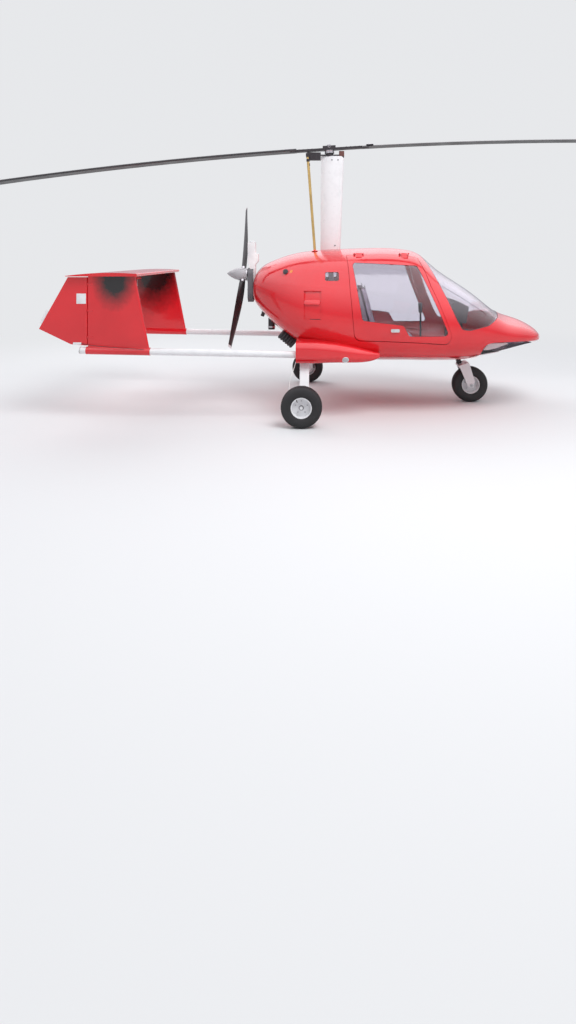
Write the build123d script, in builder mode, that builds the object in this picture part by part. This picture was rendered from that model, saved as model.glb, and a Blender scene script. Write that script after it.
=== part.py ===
"""Two-seat cabin gyrocopter, parked on its gear, rotor blades fore and aft.

Millimetres. +X is forward, +Y is port, +Z is up. The origin is on the ground under the rotor hub.
"""

import math
import os

from build123d import *

os.makedirs("parts", exist_ok=True)

# Driving dimensions

WALL = 30.0                 # moulded sandwich wall of the pod and its doors
GLASS_SET_IN = 3.0          # glazing lies this far inside the outer surface
GLASS_THICK = 6.0
DOOR_GAP = 6.0              # shut line round each door
BEARING_GAP = 0.05          # radial clearance of every running fit
SPLIT_Z = 770.0             # waterline joint between tub and upper shell
SEAM_X = -75.0              # joint between the cabin shell and the engine cowl
FLOOR_Z, FLOOR_FRONT_X = 610.0, 1700.0
TRACK_HALF = 1150.0         # main wheel centre from the centreline
AXLE_Z = 204.0
MAIN_AXLE_X, NOSE_AXLE_X = -282.0, 1630.0
TYRE_R, TYRE_HALF_WIDTH = 204.0, 78.0
RIM_R, RIM_HALF_WIDTH = 98.0, 62.0
AXLE_R = 12.5
BOOM_Y, BOOM_R = 870.0, 35.0
BOOM_FRONT, BOOM_REAR = (-100.0, 671.0), (-2573.0, 722.0)   # x, z of the boom's centreline
BEAM_X, BEAM_Z, BEAM_R = -261.0, 737.0, 28.0
FIN_THICK = 36.0
RUDDER_X = -2505.0
TAIL_TOP_Z = 1482.0
ROTOR_R, ROTOR_HUB_Z = 4250.0, 2923.0
ROTOR_TILT = 3.6            # degrees, disc tilted aft
BLADE_ROOT, BLADE_CHORD = 380.0, 200.0
BLADE_SAG_R = 50000.0       # radius of the parked blade's droop
SPINDLE_R = 20.0
MAST_TOP_Z = 2845.0
PROP_X, PROP_Z = -1000.0, 1477.0
PROP_TILT = 3.0             # degrees, thrust line rises aft
PROP_REST = -28.0           # degrees, upper blade leans to port
STEER_TILT = 18.0           # degrees, steering axis leans aft at its top
STEER_X, STEER_Z = 1493.0, 500.0

# Pod sections: station x, lowest z, highest z, half width, level of the greatest width

POD_SECTIONS = [
    (-868, 1215, 1375, 170, 1295),
    (-815, 1105, 1525, 300, 1285),
    (-640, 920, 1638, 475, 1225),
    (-380, 718, 1722, 640, 1120),
    (0, 590, 1764, 757, 1030),
    (450, 512, 1780, 798, 975),
    (850, 506, 1766, 802, 955),
    (1020, 502, 1714, 798, 948),
    (1170, 502, 1587, 787, 940),
    (1420, 506, 1410, 748, 917),
    (1680, 539, 1228, 682, 875),
    (1905, 596, 1058, 600, 828),
    (2142, 667, 972, 470, 790),
    (2331, 700, 876, 300, 775),
    (2392, 724, 822, 155, 770),
    (2417, 744, 795, 78, 768),
    (2425, 756, 780, 30, 768),
]
HOLLOW_SECTIONS = [*POD_SECTIONS[1:-4], (2331, 692, 880, 292, 782)]
UPPER_FULLNESS, LOWER_FULLNESS = 0.78, 0.52
MEET_LOW, MEET_HIGH = 20.0, 70.0   # degrees

# Side outlines, x and z

WINDSCREEN = [(1005, 1760), (1332, 1018), (1390, 915), (1478, 906), (1688, 951), (1804, 1018),
              (1905, 1060), (2050, 1160), (2050, 1900), (1005, 1900)]
DOOR_WINDOW = [(241, 1620), (941, 1585), (1250, 852), (828, 850), (768, 965), (340, 1015)]
AFT_WINDOW = [(-48, 1426), (97, 1426), (97, 1517), (-48, 1517)]
FIN = [(-2000, TAIL_TOP_Z), (-2480, TAIL_TOP_Z), (-2480, 700), (-1848, 700)]
RUDDER = [(RUDDER_X, 1473), (-2689, 1473), (-2989, 941), (-2657, 784), (RUDDER_X, 772)]

# Door outline: x along the hinge line, distance from the hinge line

DOOR_HINGE_Y, DOOR_HINGE_Z = 400.0, 1714.0
DOOR_FRONT_EDGE = [(952, 0), (1068, 452), (1307, 1017)]
DOOR_REAR_EDGE = [(263, 976), (219, 516), (189, 0)]
DOOR_CORNER = 70.0
DOOR_SWEEP = 125.0          # degrees, from straight down outwards
HINGE_CLEAR = 12.0
HINGES = [(320, 1673), (820, 1664)]   # middle x, level at which the strap meets the door's skin
HINGE_WIDTH, HINGE_BARREL_R, HINGE_REACH, HINGE_STRAP = 64.0, 8.0, 52.0, 12.0

# Cabin furniture, x and z

SEAT_Y, SEAT_WIDTH = 290.0, 480.0
SEAT_SIDE = [(330, FLOOR_Z), (890, FLOOR_Z), (900, 800), (480, 770), (330, 1360), (200, 1360), (300, 800)]
PANEL_SIDE = [(1370, 950), (1500, 950), (1530, 1130), (1390, 1200), (1350, 1160)]
PANEL_HALF_WIDTH = 420.0

# Chin recess and lamp box, x and z

CHIN_RECESS = [(1735, 400), (1735, 628), (1805, 703), (2045, 706), (2300, 686), (2300, 400)]
CHIN_LINER = [(1723, 400), (1723, 633), (1799, 715), (2046, 718), (2300, 698), (2300, 400)]
LAMP_BOX = [(1750, 618), (1815, 692), (2010, 700), (2040, 690), (2000, 630), (1900, 612)]
CHIN_HALF_WIDTH, CHIN_LINER_WALL = 165.0, 12.0

# Sponson sections: station x, inner y, outer y, lowest z, highest z, corner radius

SPONSON = [
    (-348, 430, 950, 593, 806, 70),
    (-120, 430, 952, 590, 805, 75),
    (180, 470, 925, 592, 765, 70),
    (400, 560, 880, 600, 712, 45),
    (515, 650, 820, 635, 680, 18),
]

# Propeller blade: radius, chord, thickness, pitch in degrees, sweep aft

PROP_BLADE = [
    (60, 66, 34, 60, 0),
    (220, 102, 22, 40, 3),
    (410, 120, 16, 30, 14),
    (900, 80, 9, 20, 55),
]

# Mast sections: level, rear x, front x

MAST_SECTIONS = [(1745, -103, 127), (MAST_TOP_Z, -96, 171)]
MAST_SPAR, MAST_FOOT_Z = 60.0, 625.0

# Tank outline ahead of the propeller, x and z

TANK_SIDE = [(-944, 1850), (-855, 1850), (-855, 1722), (-821, 1716), (-821, 1632), (-855, 1590), (-855, 1380),
             (-880, 1380), (-893, 1460), (-944, 1625)]
TANK_HALF_WIDTH = 42.0

EXHAUST_X, EXHAUST_Y, EXHAUST_R = -665.0, -70.0, 38.0
DUCT_AT, DUCT_DROP = (-443.5, -350.0, 763.0), 40.0   # middle of the ribbed duct, degrees its mouth points down
DUCT_BACK, DUCT_MOUTH, DUCT_PITCH, DUCT_RIBS = -120.0, 72.0, 32.0, 6
DUCT_R, DUCT_RIB_R, DUCT_BORE_R = 56.0, 66.0, 50.0
FILLER_X, FILLER_R = -479.0, 26.0
LOUVRE_STEPS = [(1245, 1320, 20.0), (1020, 1245, 9.0)]   # lowest z, highest z, depth
LOUVRE_X = (-271.0, -90.0)
SHOE_X = (-2500.0, -1845.0)   # fin's sleeve on the boom

LEG_HIP_Y, LEG_FOOT_Y = 733.0, 1040.0
LUG_RUN, LUG_OFFSET, LUG_R, LUG_THICK = 0.45, 24.0, 18.0, 8.0   # tie-down lug: part of the leg's run, place, size
TIE_DOWN_R = 7.0
STRUT_R, STEM_R = 28.0, 16.0
FORK_Y = 98.0
FORK_ARM = [(1494, 420), (1606, 456), (1672, 240), (1590, 190)]
FORK_BOSS_R = 30.0

# Tyre and rim profiles, mirrored about the middle: offset from the middle, radius

TYRE_PROFILE = [(50, RIM_R), (TYRE_HALF_WIDTH, 150), (62, 190), (26, TYRE_R)]
RIM_PROFILE = [(35, AXLE_R + BEARING_GAP), (35, 26), (6, 36), (6, 90), (48, 90), (RIM_HALF_WIDTH, 96),
               (RIM_HALF_WIDTH, RIM_R + 5), (50, RIM_R)]
TOW_BORE_R = 7.0

STEERING = Plane(
    origin=(STEER_X, 0, STEER_Z),
    x_dir=(math.cos(math.radians(STEER_TILT)), 0, math.sin(math.radians(STEER_TILT))),
    z_dir=(-math.sin(math.radians(STEER_TILT)), 0, math.cos(math.radians(STEER_TILT))),
)
DISC = Plane(
    origin=(0, 0, ROTOR_HUB_Z),
    x_dir=(math.cos(math.radians(ROTOR_TILT)), 0, math.sin(math.radians(ROTOR_TILT))),
    z_dir=(-math.sin(math.radians(ROTOR_TILT)), 0, math.cos(math.radians(ROTOR_TILT))),
)
PROP = Plane(
    origin=(PROP_X, 0, PROP_Z),
    x_dir=(0, -1, 0),
    z_dir=(-math.cos(math.radians(PROP_TILT)), 0, math.sin(math.radians(PROP_TILT))),
)


def station(x):
    """Plane across the aircraft at x: local x is port, local y is up."""
    return Plane(origin=(x, 0, 0), x_dir=(0, 1, 0), z_dir=(1, 0, 0))


def side(y):
    """Upright fore-and-aft plane at y: local x is forward, local y is up, extrusion goes to starboard."""
    return Plane(origin=(0, y, 0), x_dir=(1, 0, 0), z_dir=(0, -1, 0))


def write(name, part):
    """Label a finished piece and write it out."""
    part.label = name
    export_step(part, f"parts/{name}.step")


def other_hand(part):
    """The same piece for the starboard side."""
    with BuildPart() as mirrored:
        mirror(part, about=Plane.XZ)
    return mirrored.part


def write_pair(name, part):
    """Write a port piece and its starboard twin."""
    write(f"{name}_left", part)
    write(f"{name}_right", other_hand(part))


# Pod forms

def quarter(half_w, height, fullness):
    """Side, corner and top arcs of a quarter section, as (centre, radius, from, to) in degrees.

    The arcs meet where the skin faces MEET_LOW and MEET_HIGH above level. Fullness 1 is near an ellipse,
    and less is squarer.
    """
    low, high = math.radians(MEET_LOW), math.radians(MEET_HIGH)
    corner_r = fullness * (half_w * height) ** 2 / ((half_w**2 + height**2) / 2) ** 1.5
    reach = half_w - corner_r * (math.cos(low) - math.cos(high))
    rise = height - corner_r * (math.sin(high) - math.sin(low))
    side_in_reach, side_in_rise = 1 - math.cos(low), math.sin(low)
    top_in_reach, top_in_rise = math.cos(high), 1 - math.sin(high)
    scale = side_in_reach * top_in_rise - side_in_rise * top_in_reach
    side_r = (reach * top_in_rise - rise * top_in_reach) / scale
    top_r = (rise * side_in_reach - reach * side_in_rise) / scale
    side_y = half_w - side_r
    corner = (side_y + (side_r - corner_r) * math.cos(low), (side_r - corner_r) * math.sin(low))
    return [
        ((side_y, 0), side_r, 0, MEET_LOW),
        (corner, corner_r, MEET_LOW, MEET_HIGH),
        ((0, height - top_r), top_r, MEET_HIGH, 90),
    ]


def pod_face(x, z_low, z_high, half_w, z_wide, inset):
    """One closed pod section of tangent arcs, drawn inwards by inset."""
    upper = quarter(half_w - inset, z_high - inset - z_wide, UPPER_FULLNESS)
    lower = quarter(half_w - inset, z_wide - z_low - inset, LOWER_FULLNESS)
    turns = [(upper, 1, 1), (upper, -1, 1), (lower, -1, -1), (lower, 1, -1)]
    with BuildSketch(station(x)) as face:
        with BuildLine():
            for arcs, y_sign, z_sign in turns:
                for (cy, cz), r, start, end in arcs:
                    at = [
                        (
                            y_sign * (cy + r * math.cos(math.radians(t))),
                            z_wide + z_sign * (cz + r * math.sin(math.radians(t))),
                        )
                        for t in (start, (start + end) / 2, end)
                    ]
                    ThreePointArc(*at)
        make_face()
    return face.sketch


def pod_solid(inset, sections):
    """The pod's outer form, or one that lies inset inside it."""
    with BuildPart() as solid:
        for row in sections:
            add(pod_face(*row, inset))
        loft()
    return solid.part


def side_block(points, corner, rounded=None):
    """A side outline with rounded corners, extruded right across the aircraft."""
    with BuildPart() as block:
        with BuildSketch(side(0)) as outline:
            Polygon(*points, align=None)
            corners = outline.vertices()
            if rounded:
                picked = [points[i] for i in rounded]
                corners = [v for v in corners if (round(v.X), round(v.Y)) in picked]
            fillet(corners, corner)
        extrude(amount=1300, both=True)
    return block.part


def door_block(grow, start_r):
    """Everything swept outwards by the port door's outline round its hinge line, and grow inboard of it."""
    lowest = (DOOR_FRONT_EDGE[-1], DOOR_REAR_EDGE[0])
    front = [(x + grow, r + (grow if (x, r) in lowest else 0)) for x, r in DOOR_FRONT_EDGE]
    rear = [(x - grow, r + (grow if (x, r) in lowest else 0)) for x, r in DOOR_REAR_EDGE]
    with BuildPart() as block:
        with BuildSketch(Plane(origin=(0, DOOR_HINGE_Y, DOOR_HINGE_Z), x_dir=(1, 0, 0), z_dir=(0, 1, 0))) as outline:
            Polygon(*front, *rear, align=None)
            fillet(outline.vertices().sort_by(Axis.Y)[-2:], DOOR_CORNER + grow)
            Rectangle(6000, 2 * start_r, mode=Mode.SUBTRACT)
        revolve(axis=Axis((0, DOOR_HINGE_Y, DOOR_HINGE_Z), (1, 0, 0)), revolution_arc=DOOR_SWEEP)
        if grow:
            extrude(outline.sketch, amount=-grow)
    return block.part


# Pod shells, doors and glazing

outer = pod_solid(0, POD_SECTIONS)
inner = pod_solid(WALL, HOLLOW_SECTIONS)
shell = outer - inner
glass_outer = pod_solid(GLASS_SET_IN, POD_SECTIONS[:-1])
glass_inner = pod_solid(GLASS_SET_IN + GLASS_THICK, POD_SECTIONS[:-1])
windscreen_block = side_block(WINDSCREEN, 40, rounded=(2, 3))
door_window_block = side_block(DOOR_WINDOW, 35)
aft_window_block = side_block(AFT_WINDOW, 18)

with BuildPart() as above_split:
    with BuildSketch(Plane.XY.offset(SPLIT_Z)):
        with Locations((800, 0)):
            Rectangle(4000, 2000)
    extrude(amount=1200)

with BuildPart() as ahead_of_seam:
    with BuildSketch(station(SEAM_X)):
        with Locations((0, 1000)):
            Rectangle(2000, 2000)
    extrude(amount=3000)

with BuildPart() as mast:
    with BuildSketch(Plane.XY.offset(MAST_FOOT_Z)):
        with Locations((20, 0)):
            RectangleRounded(MAST_SPAR, MAST_SPAR, 8)
    extrude(amount=1200)
    for z, x_rear, x_front in MAST_SECTIONS:
        with BuildSketch(Plane.XY.offset(z)):
            with BuildLine():
                ThreePointArc((x_front - 45, 38), (x_front, 0), (x_front - 45, -38))
                ThreePointArc((x_front - 45, -38), (x_front - 105, -45), (x_rear, -6))
                Line((x_rear, -6), (x_rear, 6))
                ThreePointArc((x_rear, 6), (x_front - 105, 45), (x_front - 45, 38))
            make_face()
    loft()
    add(side_block([(-200, 500), (172, 500), (172, MAST_TOP_Z), (-200, MAST_TOP_Z)], 45, rounded=(2,)),
        mode=Mode.INTERSECT)
write("mast", mast.part)

door_hole = door_block(DOOR_GAP, 4)
with BuildPart() as cabin_shell:
    add(shell)
    add(ahead_of_seam.part, mode=Mode.INTERSECT)
    add(door_hole, mode=Mode.SUBTRACT)
    add(other_hand(door_hole), mode=Mode.SUBTRACT)

with BuildPart() as pod_upper:
    add(cabin_shell.part)
    add(above_split.part, mode=Mode.INTERSECT)
    add(windscreen_block, mode=Mode.SUBTRACT)
    add(aft_window_block, mode=Mode.SUBTRACT)
    add(mast.part, mode=Mode.SUBTRACT)
write("pod_upper", pod_upper.part)

with BuildPart() as pod_tub:
    add(cabin_shell.part)
    add(above_split.part, mode=Mode.SUBTRACT)
    with BuildSketch(side(0)):
        Polygon(*CHIN_LINER, align=None)
    extrude(amount=CHIN_HALF_WIDTH + CHIN_LINER_WALL, both=True)
    add(outer, mode=Mode.INTERSECT)
    with BuildSketch(side(0)):
        Polygon(*CHIN_RECESS, align=None)
    extrude(amount=CHIN_HALF_WIDTH, both=True, mode=Mode.SUBTRACT)
    with BuildSketch(STEERING.offset(200)):
        Circle(STRUT_R)
    extrude(amount=-400, mode=Mode.SUBTRACT)
write("pod_tub", pod_tub.part)

with BuildPart() as port_half:
    with BuildSketch(side(200)):
        with Locations((700, 1250)):
            Rectangle(1600, 1100)
    extrude(amount=-900)

with BuildPart() as door:
    add(shell)
    add(door_block(0, HINGE_CLEAR), mode=Mode.INTERSECT)
    add(door_window_block, mode=Mode.SUBTRACT)
    for x, foot_z in HINGES:
        with BuildSketch(station(x - HINGE_WIDTH / 2)):
            with Locations((DOOR_HINGE_Y, DOOR_HINGE_Z)):
                Circle(HINGE_BARREL_R)
            Polygon((DOOR_HINGE_Y, DOOR_HINGE_Z - HINGE_BARREL_R), (DOOR_HINGE_Y, DOOR_HINGE_Z + HINGE_BARREL_R),
                    (DOOR_HINGE_Y + HINGE_REACH, foot_z + HINGE_STRAP / 2),
                    (DOOR_HINGE_Y + HINGE_REACH, foot_z - HINGE_STRAP), align=None)
        extrude(amount=HINGE_WIDTH)
write_pair("door", door.part)

with BuildPart() as door_window:
    add(glass_outer)
    add(glass_inner, mode=Mode.SUBTRACT)
    add(door_window_block, mode=Mode.INTERSECT)
    add(port_half.part, mode=Mode.INTERSECT)
write_pair("door_window", door_window.part)

with BuildPart() as door_handle:
    with BuildSketch(side(770)):
        with Locations((680, 914)):
            RectangleRounded(90, 34, 12)
    extrude(amount=-45)
    add(outer, mode=Mode.SUBTRACT)
write_pair("door_handle", door_handle.part)

with BuildPart() as windscreen:
    add(glass_outer)
    add(glass_inner, mode=Mode.SUBTRACT)
    add(windscreen_block, mode=Mode.INTERSECT)
write("windscreen", windscreen.part)

with BuildPart() as side_windows:
    add(glass_outer)
    add(glass_inner, mode=Mode.SUBTRACT)
    add(aft_window_block, mode=Mode.INTERSECT)
write("side_windows", side_windows.part)

# Cabin

with BuildPart() as cabin_floor:
    with BuildSketch(Plane.XY.offset(FLOOR_Z - 12)):
        with Locations(((SEAM_X + FLOOR_FRONT_X) / 2, 0)):
            Rectangle(FLOOR_FRONT_X - SEAM_X, 1500)
    extrude(amount=12)
    add(inner, mode=Mode.INTERSECT)
write("cabin_floor", cabin_floor.part)

with BuildPart() as firewall:
    with BuildSketch(station(SEAM_X - 10)):
        with Locations((0, 1200)):
            Rectangle(1600, 1400)
    extrude(amount=10)
    add(inner, mode=Mode.INTERSECT)
write("firewall", firewall.part)

with BuildPart() as seats:
    for y in (-SEAT_Y, SEAT_Y):
        with BuildSketch(side(y)) as seat_side:
            Polygon(*SEAT_SIDE, align=None)
            fillet(seat_side.vertices(), 18)
        extrude(amount=SEAT_WIDTH / 2, both=True)
    add(pod_tub.part, mode=Mode.SUBTRACT)
write("seats", seats.part)

with BuildPart() as instrument_panel:
    with BuildSketch(side(0)):
        Polygon(*PANEL_SIDE, align=None)
    extrude(amount=PANEL_HALF_WIDTH, both=True)
    with BuildSketch(Plane.XY.offset(FLOOR_Z)):
        with Locations((1440, 0)):
            Rectangle(160, 260)
    extrude(amount=PANEL_SIDE[0][1] - FLOOR_Z)
write("instrument_panel", instrument_panel.part)

with BuildPart() as control_stick:
    with BuildSketch(Plane.XY.offset(FLOOR_Z)):
        with Locations((1060, 0)):
            Circle(30)
    extrude(amount=40)
    with BuildSketch(Plane.XY.offset(FLOOR_Z + 40)):
        with Locations((1060, 0)):
            Circle(11)
    extrude(amount=380)
    with BuildSketch(Plane.XY.offset(FLOOR_Z + 420)):
        with Locations((1060, 0)):
            Circle(19)
    extrude(amount=110)
write("control_stick", control_stick.part)

# Tail body with the engine

with BuildPart() as engine:
    with BuildSketch(Plane.XY.offset(960)):
        with Locations((-345, 0)):
            Rectangle(500, 520)
    extrude(amount=440)
write("engine", engine.part)

with BuildPart() as redrive:
    with BuildSketch(station(-940)) as outline:
        with Locations((0, PROP_Z)):
            Circle(75)
        with Locations((0, 1250)):
            Circle(95)
        make_hull()
    extrude(amount=60)
    with BuildSketch(station(-880)):
        with Locations((0, 1290)):
            Circle(60)
    extrude(amount=285)
    with BuildSketch(PROP.offset(-70)):
        Circle(SPINDLE_R)
    extrude(amount=90)
write("redrive", redrive.part)

with BuildPart() as coolant_tank:
    with BuildSketch(side(0)) as tank_side:
        Polygon(*TANK_SIDE, align=None)
        fillet(tank_side.vertices(), 6)
    extrude(amount=TANK_HALF_WIDTH, both=True)
    add(redrive.part, mode=Mode.SUBTRACT)
    add(outer, mode=Mode.SUBTRACT)
write("coolant_tank", coolant_tank.part)

with BuildPart() as exhaust:
    with BuildSketch(Plane.XY.offset(845)):
        with Locations((EXHAUST_X, EXHAUST_Y)):
            Circle(EXHAUST_R)
            Circle(EXHAUST_R - 4, mode=Mode.SUBTRACT)
    extrude(amount=165)
write("exhaust", exhaust.part)

drop = math.radians(DUCT_DROP)
duct_axis = Vector(math.cos(drop), 0, -math.sin(drop))
ribs = [(DUCT_BACK + DUCT_PITCH * (i + step), r) for i in range(DUCT_RIBS)
        for step, r in ((0, DUCT_R), (0.35, DUCT_RIB_R), (0.65, DUCT_RIB_R), (1, DUCT_R))]
with BuildPart() as air_duct:
    with BuildSketch(Plane(origin=DUCT_AT, x_dir=duct_axis, z_dir=(0, -1, 0))):
        Polygon(*dict.fromkeys(ribs), (DUCT_MOUTH, DUCT_BORE_R), (DUCT_BACK, DUCT_BORE_R), align=None)
    revolve(axis=Axis(DUCT_AT, duct_axis))
    add(outer, mode=Mode.SUBTRACT)
write("air_duct", air_duct.part)

# Propeller

with BuildPart() as prop_hub:
    with BuildSketch(Plane(origin=PROP.origin, x_dir=PROP.z_dir, z_dir=PROP.y_dir)):
        with BuildLine():
            ThreePointArc((-48, 68), (-10, 75), (28, 76))
            ThreePointArc((28, 76), (120, 50), (186, 5))
            Polyline((186, 5), (186, 0), (22, 0), (22, SPINDLE_R + BEARING_GAP),
                     (-48, SPINDLE_R + BEARING_GAP), (-48, 68))
        make_face()
    revolve(axis=Axis(PROP.origin, PROP.z_dir))
write("prop_hub", prop_hub.part)

def prop_blade(turn):
    """One twisted blade, standing out from the hub at turn degrees from upright."""
    spin = math.radians(turn)
    out = PROP.y_dir * math.cos(spin) + PROP.x_dir * math.sin(spin)
    across = PROP.z_dir.cross(out)
    with BuildPart() as blade:
        for radius, chord, thick, pitch, sweep_aft in PROP_BLADE:
            angle = math.radians(pitch)
            chord_line = across * math.cos(angle) + PROP.z_dir * math.sin(angle)
            middle = PROP.origin + out * radius + PROP.z_dir * sweep_aft
            with BuildSketch(Plane(origin=middle, x_dir=chord_line, z_dir=out)):
                with BuildLine():
                    ThreePointArc((-chord / 2, 0), (0, thick / 2), (chord / 2, 0))
                    ThreePointArc((chord / 2, 0), (0, -thick / 2), (-chord / 2, 0))
                make_face()
        loft()
    return blade.part


with BuildPart() as prop_blades:
    add(prop_blade(PROP_REST))
    add(prop_blade(PROP_REST + 180))
    add(prop_hub.part, mode=Mode.SUBTRACT)
write("prop_blades", prop_blades.part)

# Rotor

with BuildPart() as rotor_head:
    with BuildSketch(Plane.XY.offset(MAST_TOP_Z)):
        with Locations((10, 0)):
            Rectangle(180, 84)
    extrude(amount=12)
    with BuildSketch(Plane.XY.offset(MAST_TOP_Z + 8)):
        with Locations((-40, 0)):
            Rectangle(420, 44)
    extrude(amount=12)
    with BuildSketch(Plane.XY.offset(2800)):
        with Locations((-179, 0)):
            Rectangle(160, 48)
    extrude(amount=90)
    with BuildSketch(Plane.XY.offset(2832)):
        with Locations((-250, 0)):
            Rectangle(34, 400)
        with Locations((143, 0)):
            Rectangle(56, 44)
    extrude(amount=22)
    with BuildSketch(Plane.XY.offset(MAST_TOP_Z)):
        with Locations((143, 0)):
            Rectangle(56, 44)
    extrude(amount=60)
    with BuildSketch(DISC.offset(-80)):
        Circle(45)
    extrude(amount=28)
    with BuildSketch(DISC.offset(-80)):
        Circle(SPINDLE_R)
    extrude(amount=95)
    add(mast.part, mode=Mode.SUBTRACT)
write("rotor_head", rotor_head.part)

with BuildPart() as push_rods:
    for y_sign in (-1, 1):
        foot = Vector(-164, y_sign * 140, 1700)
        top = Vector(-250, y_sign * 180, 2843)
        with BuildSketch(Plane(origin=foot, z_dir=(top - foot))):
            Circle(13)
        extrude(amount=(top - foot).length)
    add(rotor_head.part, mode=Mode.SUBTRACT)
write("push_rods", push_rods.part)

with BuildPart() as rotor_blade:
    with BuildLine(Plane(origin=DISC.origin, x_dir=DISC.x_dir, z_dir=-DISC.y_dir)) as droop:
        ThreePointArc(*[(r, math.sqrt(BLADE_SAG_R**2 - r**2) - BLADE_SAG_R)
                        for r in (BLADE_ROOT, ROTOR_R / 2, ROTOR_R)])
    with BuildSketch(Plane(origin=droop.line @ 0, x_dir=(0, 1, 0), z_dir=droop.line % 0)):
        with BuildLine():
            Line((-BLADE_CHORD / 2, 0), (85, 0))
            ThreePointArc((85, 0), (BLADE_CHORD / 2, 9), (80, 21))
            ThreePointArc((80, 21), (10, 25), (-BLADE_CHORD / 2, 3))
            Line((-BLADE_CHORD / 2, 3), (-BLADE_CHORD / 2, 0))
        make_face()
    sweep(path=droop.line)

blade_rear = rotor_blade.part.rotate(Axis(DISC.origin, DISC.z_dir), 180)
with BuildPart() as rotor_hub:
    with BuildSketch(DISC.offset(-46)):
        Circle(55)
    extrude(amount=38)
    with BuildSketch(DISC.offset(-8)):
        RectangleRounded(150, 100, 10)
    extrude(amount=50)
    with BuildSketch(DISC.offset(-8)):
        Rectangle(2 * BLADE_ROOT + 160, 84)
    extrude(amount=26)
    with BuildSketch(Plane(origin=DISC.origin + DISC.z_dir * 30, z_dir=(0, 1, 0))):
        Circle(9)
    extrude(amount=66, both=True)
    with BuildSketch(DISC.offset(-60)):
        Circle(SPINDLE_R + BEARING_GAP)
    extrude(amount=120, mode=Mode.SUBTRACT)
    add(rotor_blade.part, mode=Mode.SUBTRACT)
    add(blade_rear, mode=Mode.SUBTRACT)
write("rotor_hub", rotor_hub.part)
write("rotor_blade_front", rotor_blade.part)
write("rotor_blade_rear", blade_rear)

# Booms, tail and main gear

with BuildPart() as gear_beam:
    with BuildSketch(side(BOOM_Y - 10)):
        with Locations((BEAM_X, BEAM_Z)):
            Circle(BEAM_R)
    extrude(amount=2 * (BOOM_Y - 10))
write("gear_beam", gear_beam.part)

louvre_pockets = []
for z_low, z_high, depth in LOUVRE_STEPS:
    with BuildPart() as pocket:
        with BuildSketch(side(0)):
            with Locations((sum(LOUVRE_X) / 2, (z_low + z_high) / 2)):
                Rectangle(LOUVRE_X[1] - LOUVRE_X[0], z_high - z_low)
        extrude(amount=1000, both=True)
        add(pod_solid(depth, HOLLOW_SECTIONS), mode=Mode.SUBTRACT)
    louvre_pockets.append(pocket.part)

with BuildPart() as engine_cowl:
    add(shell)
    add(ahead_of_seam.part, mode=Mode.SUBTRACT)
    for piece in (redrive, mast, gear_beam, push_rods):
        add(piece.part, mode=Mode.SUBTRACT)
    with BuildSketch(Plane.XY.offset(700)):
        with Locations((EXHAUST_X, EXHAUST_Y)):
            Circle(EXHAUST_R)
    extrude(amount=400, mode=Mode.SUBTRACT)
    with BuildSketch(Plane(origin=(FILLER_X, 0, 1245), z_dir=(0, -0.87, 0.49))):
        Circle(FILLER_R)
    extrude(amount=900, mode=Mode.SUBTRACT)
    for pocket in louvre_pockets:
        add(pocket, mode=Mode.SUBTRACT)
write("engine_cowl", engine_cowl.part)

run = Vector(BOOM_REAR[0] - BOOM_FRONT[0], 0, BOOM_REAR[1] - BOOM_FRONT[1])
with BuildPart() as boom:
    with BuildSketch(Plane(origin=(BOOM_FRONT[0], BOOM_Y, BOOM_FRONT[1]), z_dir=run)):
        Circle(BOOM_R)
    extrude(amount=run.length)
    add(gear_beam.part, mode=Mode.SUBTRACT)
write_pair("boom", boom.part)

hip = Vector(BEAM_X, LEG_HIP_Y, BEAM_Z)
foot = Vector(BEAM_X, LEG_FOOT_Y, AXLE_Z)
inboard = Vector(0, foot.Z - hip.Z, hip.Y - foot.Y).normalized()
lug = hip + (foot - hip) * LUG_RUN + inboard * LUG_OFFSET
with BuildPart() as gear_leg:
    with BuildSketch(Plane(origin=hip, x_dir=(1, 0, 0), z_dir=foot - hip)):
        RectangleRounded(97, 24, 8)
    extrude(amount=(foot - hip).length)
    with BuildSketch(side(LEG_FOOT_Y - 12)):
        with Locations((MAIN_AXLE_X, AXLE_Z)):
            Circle(45)
    extrude(amount=-24)
    with BuildSketch(side(LEG_FOOT_Y)):
        with Locations((MAIN_AXLE_X, AXLE_Z)):
            Circle(AXLE_R)
    extrude(amount=-(TRACK_HALF + RIM_HALF_WIDTH - LEG_FOOT_Y))
    with BuildSketch(Plane(origin=lug, z_dir=(1, 0, 0))):
        Circle(LUG_R)
        Circle(TIE_DOWN_R, mode=Mode.SUBTRACT)
    extrude(amount=LUG_THICK / 2, both=True)
    add(gear_beam.part, mode=Mode.SUBTRACT)
write_pair("gear_leg", gear_leg.part)

with BuildPart() as sponson:
    for x, y_in, y_out, z_low, z_high, corner in SPONSON:
        with BuildSketch(station(x)):
            with Locations(((y_in + y_out) / 2, (z_low + z_high) / 2)):
                RectangleRounded(y_out - y_in, z_high - z_low, corner)
    loft()
    add(outer, mode=Mode.SUBTRACT)
    for piece in (boom, gear_leg, gear_beam):
        add(piece.part, mode=Mode.SUBTRACT)
write_pair("sponson", sponson.part)

shoe_front = SHOE_X[1] - BOOM_FRONT[0]
with BuildPart() as fin:
    with BuildSketch(side(BOOM_Y)):
        Polygon(*FIN, align=None)
    extrude(amount=FIN_THICK / 2, both=True)
    fillet(fin.faces().sort_by(Axis.X)[-1].edges().filter_by(Axis.Y, reverse=True), FIN_THICK / 2 - 1)
    with BuildSketch(Plane(origin=(BOOM_FRONT[0], BOOM_Y, BOOM_FRONT[1]), z_dir=run).offset(-shoe_front)):
        Circle(BOOM_R + 5)
    extrude(amount=SHOE_X[1] - SHOE_X[0])
    add(boom.part, mode=Mode.SUBTRACT)
write_pair("fin", fin.part)

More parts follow.
